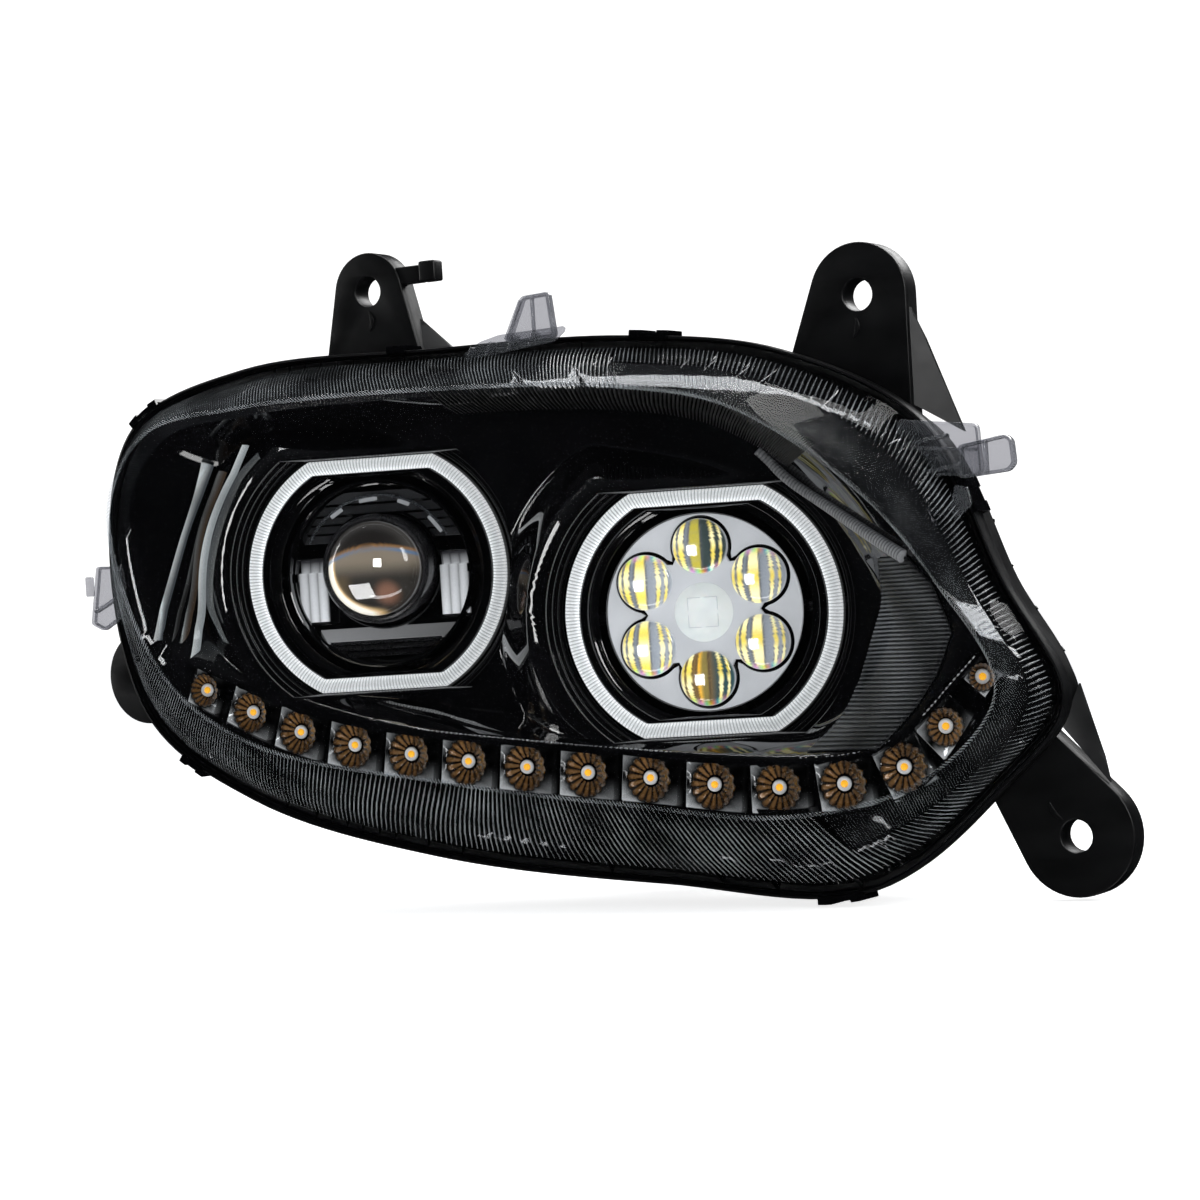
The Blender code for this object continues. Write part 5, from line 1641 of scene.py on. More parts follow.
def projector_tone(co):
    """A painted image of what the projector's glass shows: a bright foreground under a dark sky, with a
    fringe and a pale painted highlight round the rim.
    """
    spot = LOW.inverted() @ co
    x, z = spot.x / GLASS_RADIUS, (spot.z - PROJECTOR_RISE) / GLASS_RADIUS
    reach = math.hypot(x, z)
    horizon = 0.43 - 0.22 * x * x + 0.05 * x
    sky = mixed((0.010, 0.008, 0.007), (0.060, 0.055, 0.052), ramp_between(reach, 0.74, 1.0))
    ground = mixed((0.20, 0.165, 0.125), (0.026, 0.023, 0.020), ramp_between(-z, -0.22, 0.26))
    ground = mixed(ground, (0.10, 0.07, 0.035), 0.8 * ramp_between(-x, 0.3, 0.62) *
                   ramp_between(-z, 0.0, 0.25))
    warm = ramp_between(math.hypot(x - 0.34, z + 0.52), 0.34, 0.10)
    ground = mixed(ground, (0.22, 0.10, 0.06), 0.8 * warm)
    lean = (-0.86 * x - 0.50 * z) / max(0.01, reach)
    glow = ramp_between(reach + 0.10 * lean, 0.80, 0.99) * ramp_between(lean, 0.05, 0.85)
    ground = mixed(ground, (0.75, 0.50, 0.22), 0.75 * ramp_between(glow, 0.02, 0.4))
    ground = mixed(ground, (1.0, 0.95, 0.84), ramp_between(glow, 0.30, 0.75))
    tone = mixed(ground, sky, ramp_between(z, horizon - 0.02, horizon + 0.05))
    tone = mixed(tone, (0.42, 0.20, 0.06), 0.55 * ramp_between(0.05 - abs(z - horizon - 0.035), 0, 0.05))
    blue = ramp_between(0.06 - abs(z - horizon + 0.035), 0, 0.06)
    tone = mixed(tone, (0.06, 0.16, 0.33), blue * (0.35 + 0.5 * ramp_between(abs(x), 0.2, 0.8)))
    return mixed(tone, (0.55, 0.56, 0.58), 0.6 * ramp_between(reach, 0.965, 0.995))


def make_projector():
    centre = (0, 0, PROJECTOR_RISE)
    dome = []
    for k in range(25):
        angle = math.radians(90 * (1 - k / 24))
        dome.append((GLASS_RADIUS * math.sin(angle), -8.5 - 17.5 * math.cos(angle)))
    turned("projector_glass", [(31.6, -1), (31.6, -6), (GLASS_RADIUS + 0.2, -6.2)] + dome
           + [(0, -1)], MATERIALS["glass"], "low_module", LOW, centre, 96, False,
           ["low_projector_lens"], 60)
    inner = [(r * 0.985, y + 0.8) for r, y in dome]
    view = turned("projector_view", inner, MATERIALS["view"], "low_module", LOW, centre, 160,
                  False, ["low_projector_lens", "low_reflector_bowl"], 60)
    paint(view, projector_tone)
    holder = [(34.3, 34), (34.3, -5.5), (33.6, -7.2), (32.8, -8.6), (31.6, -9.2), (30.7, -9.0),
              (30.5, -8.0), (30.7, -6.6), (32.0, -6.3), (32.0, 34)]
    turned("projector_holder", holder, MATERIALS["satin_black"], "low_module", LOW, centre, 128,
           True, ["low_lens_holder"], 30)
    turned("projector_collar", [(38.2, 34), (38.2, 14), (37.4, 13), (36.6, 13.2), (36.4, 16),
                                (35.4, 17), (35.2, 34)], MATERIALS["gloss"], "low_module", LOW,
           centre, 96, True, ["low_lens_holder"], 30)


# ---------------------------------------------------------------- high-beam module
def flower(orbit, radius, steps=28, notch_depth=2.0):
    """Six round petals round a hub, one petal at the top, with a notch between neighbours."""
    half_turn = math.pi / 6
    notch = orbit * math.cos(half_turn) + notch_depth
    outline = []
    for petal in range(6):
        middle = math.pi / 2 + petal * math.pi / 3
        centre = Vector((math.cos(middle), math.sin(middle))) * orbit
        corner = Vector((math.cos(middle - half_turn), math.sin(middle - half_turn))) * notch
        away = corner - centre
        start = math.atan2(away.y, away.x) + math.radians(8)
        sweep = 2 * (middle - start) % (2 * math.pi)
        outline.append(corner)
        outline += [centre + Vector((math.cos(start + sweep * k / steps),
                                     math.sin(start + sweep * k / steps))) * radius
                    for k in range(steps + 1)]
    return outline


PETAL_CENTRES = [Vector((math.cos(a), math.sin(a))) * PETAL_ORBIT
                 for a in (math.pi / 2 + math.pi / 3 * k for k in range(6))]
# Stripes of phosphor light across a petal: (middle, half width, strength), in petal radii
STRIPES = [(-0.90, 0.06, 0.9), (-0.66, 0.10, 1.0), (-0.14, 0.20, 1.0), (0.52, 0.07, 0.95),
           (0.80, 0.045, 0.9)]


def petal_tone(x, z, petal):
    """A petal's painted look: the yellow chip seen spread into upright stripes over slate grey that is
    painted lighter across the petal, with painted reflections, a painted rainbow and a pale painted rim.
    """
    bow = 1 / max(0.35, math.sqrt(max(0.01, 1 - 0.55 * z * z)))
    across = x * bow
    tone = mixed((0.17, 0.19, 0.22), (0.33, 0.36, 0.40), ramp_between(across, -0.2, 0.5) * 0.6)
    if petal == 0:
        tone = mixed(tone, (0.035, 0.05, 0.05), ramp_between(across, -0.1, 0.2))
    if petal == 3:
        tone = mixed((0.16, 0.10, 0.04), (0.03, 0.07, 0.08), ramp_between(across, 0.0, 0.5))
    for middle, half, strength in STRIPES:
        near = ramp_between(half * 1.15 - abs(across - middle), 0, half * 0.35)
        ragged = 0.10 * math.sin(9 * z + 3 * petal) + 0.06 * math.sin(23 * z)
        yellow = mixed((0.78, 0.62, 0.10), (0.97, 0.90, 0.50), 0.5 + 0.5 * math.sin(5 * z + petal))
        if petal == 0 and abs(middle) < 0.2:
            yellow = (0.42, 0.36, 0.05)
        if petal == 3 and abs(middle) < 0.2:
            yellow = mixed((0.75, 0.42, 0.05), (0.20, 0.16, 0.05), ramp_between(across, -0.3, -0.12))
        tone = mixed(tone, yellow, near * strength * (1 - abs(ragged)))
        edge = ramp_between(half * 0.3 - abs(abs(across - middle) - half * 1.15), 0, half * 0.3)
        tone = mixed(tone, (0.02, 0.018, 0.02), 0.55 * edge)
    reach = math.hypot(x, z)
    rainbow = ramp_between(reach, 0.72, 0.95) * ramp_between(z if petal in (1, 5) else -z, 0.5, 0.9)
    hue = (0.5 + 0.5 * math.sin(14 * x), 0.55 + 0.35 * math.sin(14 * x + 2),
           0.45 + 0.4 * math.sin(9 * x + 4))
    tone = mixed(tone, hue, 0.45 * rainbow)
    return mixed(tone, (0.62, 0.64, 0.67), 0.5 * ramp_between(reach, 0.95, 1.0))


def make_high_cup():
    profile = [(60.0, 35), (60.0, 3.0), (59.6, 2.2), (59.2, 2.1), (58.95, 2.8), (58.9, 7.6),
               (44.2, 8.2), (44.0, 9), (44.0, 35)]
    turned("high_cup", profile, MATERIALS["gloss"], "high_module", HIGH, steps=128,
           stands_for=["high_module_frame"], crease=30)
    shape = bmesh.new()
    outer = circle(DISC_RADIUS, (0, 0), 128)
    add_plate(shape, [outer, flower(PETAL_ORBIT, PETAL_RADIUS + 0.5)], 3.2, 6.2, 0.5)
    piece("high_disc", shape, MATERIALS["disc"], "high_module", HIGH, ["high_trim_plate"], 30,
          outward=False)
    shape = bmesh.new()
    add_plate(shape, [circle(DISC_RADIUS - 0.5, (0, 0), 96)], 6.4, 7.4, 0.2)
    piece("high_disc_back", shape, MATERIALS["gloss"], "high_module", HIGH, ["high_trim_plate"])


CENTRE_LENS_RADIUS = 17.6


def make_flower_optic():
    """The six domed petals, the clear web that joins them, and the lens at their centre."""
    shape = bmesh.new()
    add_plate(shape, [flower(PETAL_ORBIT, PETAL_RADIUS - 1.8, notch_depth=-0.4)], -0.6, 6, 0.8)
    piece("high_web", shape, MATERIALS["web"], "high_module", HIGH, ["high_optic"], 30,
          outward=False)
    tilt = PETAL_RADIUS - 1.5
    for petal, centre in enumerate(PETAL_CENTRES):
        shape = bmesh.new()
        rows = []
        for level in range(19):
            angle = math.pi / 2 * (1 - level / 18)
            reach, rise = tilt * math.sin(angle), 5.4 * math.cos(angle)
            rows.append(round_row(max(reach, 0.01), -0.7 - rise, centre))
        loft(shape, rows)
        bmesh.ops.remove_doubles(shape, verts=shape.verts, dist=0.02)
        dome = piece("high_petal_%d" % (petal + 1), shape, MATERIALS["petal"], "high_module",
                     HIGH, ["high_optic"], 60)
        paint(dome, lambda co, c=centre, p=petal: petal_tone(
            ((HIGH.inverted() @ co).x - c.x) / tilt, ((HIGH.inverted() @ co).z - c.y) / tilt, p))
    shape = bmesh.new()
    rows = []
    count = 96
    for level in range(13):
        share = level / 12
        row = []
        for k in range(count):
            a = 2 * math.pi * k / count
            reach = CENTRE_LENS_RADIUS * (1 - share)
            x, z = reach * math.cos(a), reach * math.sin(a)
            rise = 5.2 * (1 - (1 - share) ** 2.2)
            facet = min(rise, 3.4 + 0.02 * rise) if max(abs(x), abs(z)) < 8.7 else rise * 0.93
            row.append((x, -0.7 - facet, z))
        rows.append(row)
    loft(shape, rows)
    bmesh.ops.remove_doubles(shape, verts=shape.verts, dist=0.02)
    piece("high_centre_lens", shape, MATERIALS["frosted"], "high_module", HIGH, ["high_optic"],
          18)
    shape = bmesh.new()
    for x, z, long, tall in ((0, 8.8, 17.4, 0.35), (0, -8.8, 17.4, 0.35), (8.8, 0, 0.35, 17.4),
                             (-8.8, 0, 0.35, 17.4)):
        add_box(shape, (long, 0.5, tall), (x, -4.2, z), rounding=0.1)
    piece("high_centre_facets", shape, MATERIALS["web"], "high_module", HIGH, ["high_optic"])


# ---------------------------------------------------------------- clear locator tabs
def add_tray(shape, outline, front, depth, rim=1.8, floor=1.6):
    """A shallow moulded tray: a thin floor inside a raised rim."""
    add_plate(shape, [outline, inset(outline, rim)], front, front + depth, 0.5)
    add_plate(shape, [outline], front + depth - floor, front + depth, 0.4)


def rounded_outline(points, radius, least=0.08):
    """A polygon with its corners rounded, listed anticlockwise."""
    made = []
    corners = [Vector(p) for p in points]
    for i, corner in enumerate(corners):
        before = (corners[i - 1] - corner).normalized()
        after = (corners[(i + 1) % len(corners)] - corner).normalized()
        for k in range(7):
            share = k / 6
            spot = corner + before * radius * (1 - share) ** 2 + after * radius * share ** 2
            if not made or (spot - made[-1]).length > least:
                made.append(spot)
    if (made[0] - made[-1]).length <= least:
        made.pop()
    return made


def make_locator_tabs():
    shape = bmesh.new()
    fin = rounded_outline([(-9, 153), (28, 155), (25, 183), (5, 182)], 3)
    base = rounded_outline([(-39, 150), (-30, 147), (27, 152), (35, 158), (35, 161), (-12, 160),
                            (-26, 157)], 1.5)
    add_tray(shape, fin, -10.5, 4.5)
    add_plate(shape, [base], -11, -8.6, 0.7)
    for x, z, reach in ((-33, 150, 9), (-19, 152, 9), (-3, 154, 10), (12, 155, 9)):
        turn = Matrix.Rotation(math.radians(24), 4, "Y")
        add_box(shape, (2.0, 9, reach), (x, -8.5, z), turn, 0.6)
    add_box(shape, (1.6, 3.4, 26), (-1, -10.4, 168), Matrix.Rotation(math.radians(28), 4, "Y"), 0.5)
    add_box(shape, (1.4, 3.4, 25), (13, -9.8, 168), None, 0.5)

    back = rounded_outline([(252, 68), (252, 84), (299, 78), (300, 52), (262, 54)], 2)
    blade = rounded_outline([(289, 49), (319, 51), (323, 55), (322, 69), (318, 72), (289, 68)], 2.5)
    add_tray(shape, back, -9.5, 4.0)
    add_tray(shape, blade, -12.5, 5.5)
    add_box(shape, (1.6, 5, 19), (305, -10, 60), None, 0.5)
    add_box(shape, (44, 5.5, 2.0), (277, -10, 67), Matrix.Rotation(math.radians(6), 4, "Y"), 0.6)
    for z, long in ((72, 34), (55, 30)):
        add_box(shape, (long, 9, 2.2), (264 + (72 - z) * 0.6, -8, z),
                Matrix.Rotation(math.radians(-8), 4, "Y"), 0.7)
    foot_blade = rounded_outline([(276, 20), (294, 34), (292, 44), (284, 46)], 2)
    add_plate(shape, [foot_blade], -9, -6.8, 0.6)

    outboard = rounded_outline([(-343, -1), (-333, -6), (-314, 4), (-315, 36), (-336, 37)], 2.5)
    add_tray(shape, outboard, -11.5, 4.5)
    add_box(shape, (3.4, 6, 13), (-343.5, -9.5, 24), None, 0.8)
    add_box(shape, (24, 5, 2), (-328, -10, 12), Matrix.Rotation(math.radians(-24), 4, "Y"), 0.5)
    piece("lens_locator_tabs", shape, MATERIALS["tab"], "lamp", PANEL, ["lens_cover"], 35,
          outward=False)


# ---------------------------------------------------------------- lens retaining clips
# Each clip's node, the chord of the parting line it sits on, and its length
CLIPS = {"outboard_upper": (41, 26), "top_outboard": (36, 14), "top_inboard": (32, 26),
         "side": (25, 22), "bottom": (14, 30), "outboard_lower": (4, 20)}
CLIP_SECTION = [(-2.0, -4.5), (-2.3, -5.6), (-1.7, -6.4), (2.2, -6.4), (2.9, -6.1), (3.2, -5.2),
                (3.2, 12.4), (2.6, 13.3), (-4.2, 13.5), (-4.8, 12.8), (-4.6, 11.4), (0.9, 11.2),
                (0.9, -4.4)]


def make_clips():
    per_chord = LOOP_CHORDS // 3
    count = len(parting)
    for name, (chord, length) in CLIPS.items():
        middle = chord * per_chord + per_chord // 2
        near = [parting[(middle + k) % count] for k in range(-14, 15)]
        line = resampled(near, 1.0, closed=False)
        centre = min(range(len(line)), key=lambda k: (line[k] - parting[middle % count]).length)
        half = length / 2
        shape = bmesh.new()
        for low, high, swell in ((-half, -half * 0.42, 1), (-half * 0.42, half * 0.42, 0.55),
                                 (half * 0.42, half, 1)):
            rows = []
            for k in range(int(centre + low), int(centre + high) + 1):
                spot = line[max(0, min(len(line) - 1, k))]
                ahead = line[max(1, min(len(line) - 1, k + 1))] - line[max(0, min(len(line) - 2, k - 1))]
                outward = Vector((ahead.y, -ahead.x)).normalized()
                rows.append([(spot.x + outward.x * (out * swell if out > 1 else out), depth,
                              spot.y + outward.y * (out * swell if out > 1 else out))
                             for out, depth in CLIP_SECTION])
            loft(shape, rows, cap_first=True, cap_last=True)
        piece("clip_" + name, shape, MATERIALS["gloss"], "lamp", PANEL, ["lens_clip_" + name], 25)


# ---------------------------------------------------------------- rear of the housing
def make_housing_ribs():
    """Shallow ribs that run back over the tapered shell, and round its rear wall."""
    shape = bmesh.new()
    sizes = [(WAIST_W + 6, 0.956), (70, 0.926), (95, 0.88), (108, 0.822), (117, 0.782)]
    loop = resampled(parting, 31.0)
    for spot in loop:
        outward = (spot - REAR_CENTRE).normalized()
        points, outs = [], []
        for depth, size in sizes:
            flat = REAR_CENTRE + (spot - REAR_CENTRE) * size
            points.append(Vector((flat.x, depth, flat.y)))
            outs.append(Vector((outward.x, 0, outward.y)))
        add_bar(shape, points, outs, 2.4, 1.6)
    for size in (0.60, 0.66):
        line = scaled(parting, size, size, REAR_CENTRE)
        line = [Vector((p.x, REAR_WALL_W - 0.2, p.y)) for p in line]
        line += line[:2]
        add_bar(shape, line, [Vector((0, 1, 0))] * len(line), 2.2, 2.4)
    for along, up in (LOW_CAP, HIGH_CAP):
        for k in range(8):
            angle = math.pi / 4 * (k + 0.5)
            ray = Vector((math.cos(angle), 0, math.sin(angle)))
            start = Vector((along, REAR_WALL_W - 0.2, up)) + ray * (CAP_RADIUS - 2)
            add_bar(shape, [start, start + ray * 6, start + ray * 13], [Vector((0, 1, 0))] * 3,
                    2.6, 4.0)
    piece("housing_ribs", shape, MATERIALS["housing"], "lamp", PANEL, ["rear_housing"], 40)
    for name, (along, up) in (("low", LOW_CAP), ("high", HIGH_CAP)):
        turned("housing_collar_" + name, [(40, 127), (40, 139.4), (39.2, 140.2), (36.8, 140.2),
                                          (36, 139.4), (36, 127)], MATERIALS["housing"], "lamp",
               PANEL, (along, 0, up), 96, stands_for=["rear_housing"], crease=30)
    for name, matrix in LAMPS.items():
        turned("screw_tower_" + name, [(13.5, 118), (11.8, 133), (11.2, 135.2), (8.6, 135.6),
                                       (8.6, 118)], MATERIALS["housing"], "lamp", matrix,
               (0, 0, -AIM_ARM), 48, stands_for=["rear_housing"], crease=30)


def make_dust_caps():
    for name, (along, up) in (("low", LOW_CAP), ("high", HIGH_CAP)):
        body = name + "_cap"
        shape = bmesh.new()
        rows = []
        for radius, depth, teeth in (
                (40.6, 131.2, 0), (42.4, 131.0, 0), (43, 131.8, 0.0), (42.9, 133, 1), (42.9, 142, 1),
                (42.2, 143.6, 0.6), (41.2, 144.8, 0), (39.6, 145.2, 0), (37.6, 145.1, 0),
                (36.8, 143.4, 0), (34, 142.6, 0), (1, 142.6, 0), (1, 141.4, 0), (39.8, 141.4, 0),
                (40.6, 140.6, 0)):
            rows.append(round_row(
                lambda a: radius - teeth * 0.9 * (0.5 + 0.5 * math.cos(72 * a)) ** 2,
                depth, (along, up), 288))
        loft(shape, rows, closed_rows=True)
        grip = [(-33, -6), (33, -6), (33, 6), (-33, 6)]
        add_plate(shape, [rounded_outline([(along + x, up + z) for x, z in grip], 5)],
                  142, 155.6, 1.6)
        for side in (-1, 1):
            for k in range(3):
                add_box(shape, (1.6, 5, 21), (along + side * (10 + 9 * k), 143.8, up + side * 15),
                        None, 0.5)
        for k in range(3):
            angle = math.radians(90 + 120 * k)
            add_box(shape, (9, 3, 4), (along + 36.5 * math.cos(angle), 145.6,
                                       up + 36.5 * math.sin(angle)),
                    Matrix.Rotation(math.pi / 2 - angle, 4, "Y"), 0.8)
        piece("dust_cap_" + name, shape, MATERIALS["housing"], body, PANEL,
              [name + "_dust_cap"], 30)


def make_vent():
    rows = []
    for radius, depth, notch in ((5, 122.5, 0), (5, 129.8, 0), (9.4, 129.9, 0), (9.9, 130.6, 0),
                                 (9.9, 132.4, 1), (9.9, 136.0, 1), (9.3, 137.8, 0.5), (8, 138.8, 0),
                                 (6.4, 139, 0), (6.0, 138.2, 0), (0.2, 138, 0)):
        rows.append(round_row(lambda a: radius - notch * 1.1 * (math.cos(12 * a) > 0.2), depth,
                              VENT, 96))
    lofted("vent_breather", rows, MATERIALS["rubber"], "lamp", PANEL, ["vent_cap"], 30,
           cap_first=True, cap_last=True)


CASE_CENTRE, CASE_WIDTH, CASE_HEIGHT = (-38, 2), 104, 72


def add_screw_head(shape, x, y, z, radius=3.4):
    """A round socket screw head that faces back."""
    rows = []
    for reach, depth in ((radius, 0), (radius, 1.6), (radius - 0.5, 2.2), (radius * 0.5, 2.3),
                         (radius * 0.46, 0.9), (0.05, 0.9)):
        lobe = 0.12 if reach <= radius * 0.5 else 0.0
        rows.append(round_row(lambda a: reach * (1 - lobe + lobe * math.cos(6 * a)), y + depth,
                              (x, z), 48))
    loft(shape, rows, cap_last=True)


def make_driver():
    """The LED driver: a plastic case with a finned metal lid held by four screws."""
    along, up = CASE_CENTRE
    half_x, half_z = CASE_WIDTH / 2, CASE_HEIGHT / 2
    base = rounded_outline([(along - half_x, up - half_z), (along + half_x, up - half_z),
                            (along + half_x, up + half_z), (along - half_x, up + half_z)], 8)
    shape = bmesh.new()
    add_plate(shape, [base], 129.6, 145.4, 1.6)
    add_plate(shape, [base, inset(base, 2.5)], 138, 139.6, 0.4)
    for k in range(9):
        x = along + (k - 4) * 11.5
        for side in (-1, 1):
            add_box(shape, (1.8, 9, 2.2), (x, 136.5, up + side * (half_z - 0.6)), None, 0.5)
    piece("driver_case", shape, MATERIALS["plug"], "lamp", PANEL, ["led_driver_case"], 35,
          outward=False)
    shape = bmesh.new()
    add_plate(shape, [base], 146.1, 149.1, 0.7)
    for k in range(13):
        x = along + (k - 6) * 6.6
        fin = [(x - 0.8, 148.6, up - 31), (x + 0.8, 148.6, up - 31), (x + 0.55, 155.8, up - 29),
               (x - 0.55, 155.8, up - 29)]
        other = [(a, b, 2 * up - c) for a, b, c in fin]
        loft(shape, [fin, other], cap_first=True, cap_last=True)
    piece("driver_lid", shape, MATERIALS["aluminium"], "lamp", PANEL, ["led_driver_lid"], 30,
          outward=False)
    shape = bmesh.new()
    for side_x in (-1, 1):
        for side_z in (-1, 1):
            add_screw_head(shape, along + side_x * (half_x - 6), 149.1, up + side_z * (half_z - 6))
    piece("driver_screws", shape, MATERIALS["steel"], "lamp", PANEL, ["led_driver_lid"], 30)


def make_harness():
    along, up = CABLE_EXIT
    line = smooth_run([(along, 118, up), (along, 134, up), (along, 143, up - 1),
                       (along + 6, 152, up - 12), (along + 28, 157, up - 40),
                       (along + 62, 157, up - 52)], 40)
    shape = bmesh.new()
    add_tube(shape, line, 4.4, 24, swell=lambda i: 0.96 + 0.04 * math.sin(i * 0.9))
    piece("harness_sleeve", shape, MATERIALS["cable"], "lamp", PANEL, ["wire_harness"], 60)
    rows = [(5.0, 122), (5.2, 129.4), (10.6, 129.5), (11, 130.2), (11, 132.2), (10.2, 133.2)]
    for k in range(4):
        rows += [(8.4 - k * 0.7, 133.6 + 2.1 * k), (8.6 - k * 0.7, 134.8 + 2.1 * k),
                 (7.2 - k * 0.6, 135.4 + 2.1 * k)]
    rows += [(4.7, 142.2), (4.6, 122)]
    turned("harness_boot", rows, MATERIALS["rubber"], "lamp", PANEL, (along, 0, up), 64,
           stands_for=["cable_grommet"], crease=30)
    make_plug((along + 62, 157, up - 52))


def make_plug(end):
    x, y, z = end
    shape = bmesh.new()
    add_box(shape, (12, 17, 25), (x + 8, y, z), None, 2.2)
    add_box(shape, (33, 18, 26), (x + 29.6, y, z), None, 1.2)
    for k in range(5):
        add_box(shape, (1.4, 18, 22), (x + 15 + k * 3.2, y - 0.2, z), None, 0.5)
    for side in (-1, 1):
        add_box(shape, (18, 2.6, 1.6), (x + 30, y + side * 5.6, z + 12.4), None, 0.5)
    piece("plug_shell", shape, MATERIALS["plug"], "lamp", PANEL, ["plug_body"], 30)
    shape = bmesh.new()
    square = [(-2.4, -2.4), (2.4, -2.4), (2.4, 2.4), (-2.4, 2.4)]
    for column in range(3):
        for row in range(2):
            middle_y, middle_z = y + (row - 0.5) * 7, z + (column - 1) * 7.4
            loft(shape, [[(x + depth, middle_y + a * size, middle_z + b * size) for a, b in square]
                         for depth, size in ((45.9, 0.95), (46.02, 0.9), (46.02, 0.72),
                                             (44.1, 0.66))], cap_first=True, cap_last=True)
    piece("plug_sockets", shape, MATERIALS["rubber"], "lamp", PANEL, ["plug_body"], 30)
    rows = []
    for radius, depth in ((4.6, 0), (6.6, 0.3), (7.0, 1.2), (7.0, 3.2), (6.2, 3.6), (6.2, 4.2),
                          (7.0, 4.6), (7.0, 6.2)):
        rows.append([(x - 3.6 + depth, y + radius * math.cos(a), z + radius * math.sin(a))
                     for a in (2 * math.pi * k / 40 for k in range(40))])
    lofted("plug_wire_seal", rows, MATERIALS["rubber"], "lamp", PANEL, ["plug_body"], 40,
           cap_first=True, cap_last=True)
    pivot_x, pivot_z = x + 17.5, z + 15.4
    section = [(-1.6, -1.2), (-1.2, -1.5), (24.4, -1.5), (25.4, -2.6), (26, -2.4), (26, 0.4),
               (25, 1.4), (20, 1.4), (19, 0.9), (5, 0.9), (3.4, 1.4), (-1.0, 1.4), (-1.6, 0.8)]
    rows = [[(pivot_x + a, y + side, pivot_z + b) for a, b in
             ((c[0] * shrink + 12 * (1 - shrink), c[1] * shrink) for c in section)]
            for side, shrink in ((-5, 0.95), (-4.6, 1), (4.6, 1), (5, 0.95))]
    shape = bmesh.new()
    loft(shape, rows, cap_first=True, cap_last=True)
    for k in range(3):
        add_box(shape, (0.9, 8, 1.2), (pivot_x + 20.8 + k * 1.6, y, pivot_z + 1.5), None, 0.3)
    piece("latch_lever", shape, MATERIALS["nylon"], "latch", PANEL, ["plug_latch"], 30)


SCREW_AXIS = (0, -AIM_ARM)
THREAD_RINGS = 99               # rings along the thread, from crest to root and back


def make_aim_screws():
    """Each lamp's long aim screw: a lobed knob with a hexagon socket, and its thread."""
    for name, matrix in LAMPS.items():
        shape = bmesh.new()
        rows = []
        for radius, depth, lobe in ((3.0, 166, 0), (8.2, 166, 0), (9, 166.8, 1), (9, 177.6, 1),
                                    (8.2, 179.4, 0.7), (6.4, 180, 0), (4.2, 180, 0), (3.9, 179, 0)):
            rows.append(round_row(lambda a: radius - lobe * 0.8 * abs(math.sin(6 * a)) ** 3,
                                  depth, SCREW_AXIS, 120))
        hexagon = round_row(lambda a: 3.2 * math.cos(math.pi / 6)
                            / math.cos((a % (math.pi / 3)) - math.pi / 6), 178.9, SCREW_AXIS, 120)
        rows += [hexagon, [(x, 173, z) for x, _, z in hexagon]]
        loft(shape, rows, cap_last=True)
        thread = [round_row(3.0 - 0.35 * (k % 2), 17 + 149 * k / (THREAD_RINGS - 1),
                            SCREW_AXIS, 20) for k in range(THREAD_RINGS)]
        loft(shape, thread, cap_first=True, cap_last=True)
        piece("aim_screw_" + name, shape, MATERIALS["steel"], name + "_adjuster", matrix,
              [name + "_aim_screw"], 30)


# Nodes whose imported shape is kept, each with its finish
KEPT_NODES = {
    "housing_seal": "rubber", "low_halo_board": "board", "high_halo_board": "board",
    "low_pivot_pin_outboard": "steel", "low_pivot_pin_inboard": "steel",
    "high_pivot_pin_outboard": "steel", "high_pivot_pin_inboard": "steel",
    "low_aim_bush": "nylon", "high_aim_bush": "nylon", "low_aim_nut": "nylon",
    "high_aim_nut": "nylon", "low_cap_seal": "rubber", "high_cap_seal": "rubber",
    "low_reflector_bowl": "chrome", "low_led_board": "board", "high_led_board": "board",
    "low_heat_sink": "aluminium", "high_heat_sink": "aluminium",
}


def finish_kept_nodes():
    for name, finish in KEPT_NODES.items():
        node = frame["nodes"][name]
        node.data.materials.clear()
        node.data.materials.append(MATERIALS[finish])


# ---------------------------------------------------------------- stage
FLOOR_GAP = 0.002
FLOOR_RINGS = (0.01, 2, 8, 30)


def make_stage():
    """A wide pale floor with a slight mottle."""
    f = Finish("studio_floor")
    tone = f.grey(f.noise(3, 3.0), 0.86, 0.90)
    paper = f.principled(f.add("CombineColor", Red=tone, Green=tone, Blue=tone).outputs[0], 0.9)
    glow = f.add("Emission", Color=(1, 1, 1, 1), Strength=0.80)
    both = f.add("AddShader")
    f.feed(both, "0", paper)
    f.feed(both, "1", glow)
    f.surface(both)
    low_z = cad_box[0][2] - FLOOR_GAP
    shape = bmesh.new()
    rings = [[(reach * math.cos(a), reach * math.sin(a), low_z)
              for a in (2 * math.pi * k / 64 for k in range(64))] for reach in FLOOR_RINGS]
    loft(shape, rings, cap_first=True)
    mesh = bpy.data.meshes.new("floor")
    shape.to_mesh(mesh)
    shape.free()
    mesh.materials.append(f.owner)
    floor = bpy.data.objects.new("floor", mesh)
    bpy.context.scene.collection.objects.link(floor)
    floor.visible_glossy = False


def add_light(name, spot, target, size, power, only=()):
    """An area light; when only names pieces, it lights nothing else."""
    data = bpy.data.lights.new(name, "AREA")
    data.shape = "RECTANGLE"
    data.size, data.size_y = size
    data.energy = power
    lamp = bpy.data.objects.new(name, data)
    bpy.context.scene.collection.objects.link(lamp)
    lamp.location = spot
    lamp.rotation_euler = (Vector(target) - Vector(spot)).to_track_quat("-Z", "Y").to_euler()
    if only:
        lit = bpy.data.collections.new(name + "_lit")
        for other in bpy.data.objects:
            if other.name.startswith(only):
                lit.objects.link(other)
        lamp.light_linking.receiver_collection = lit


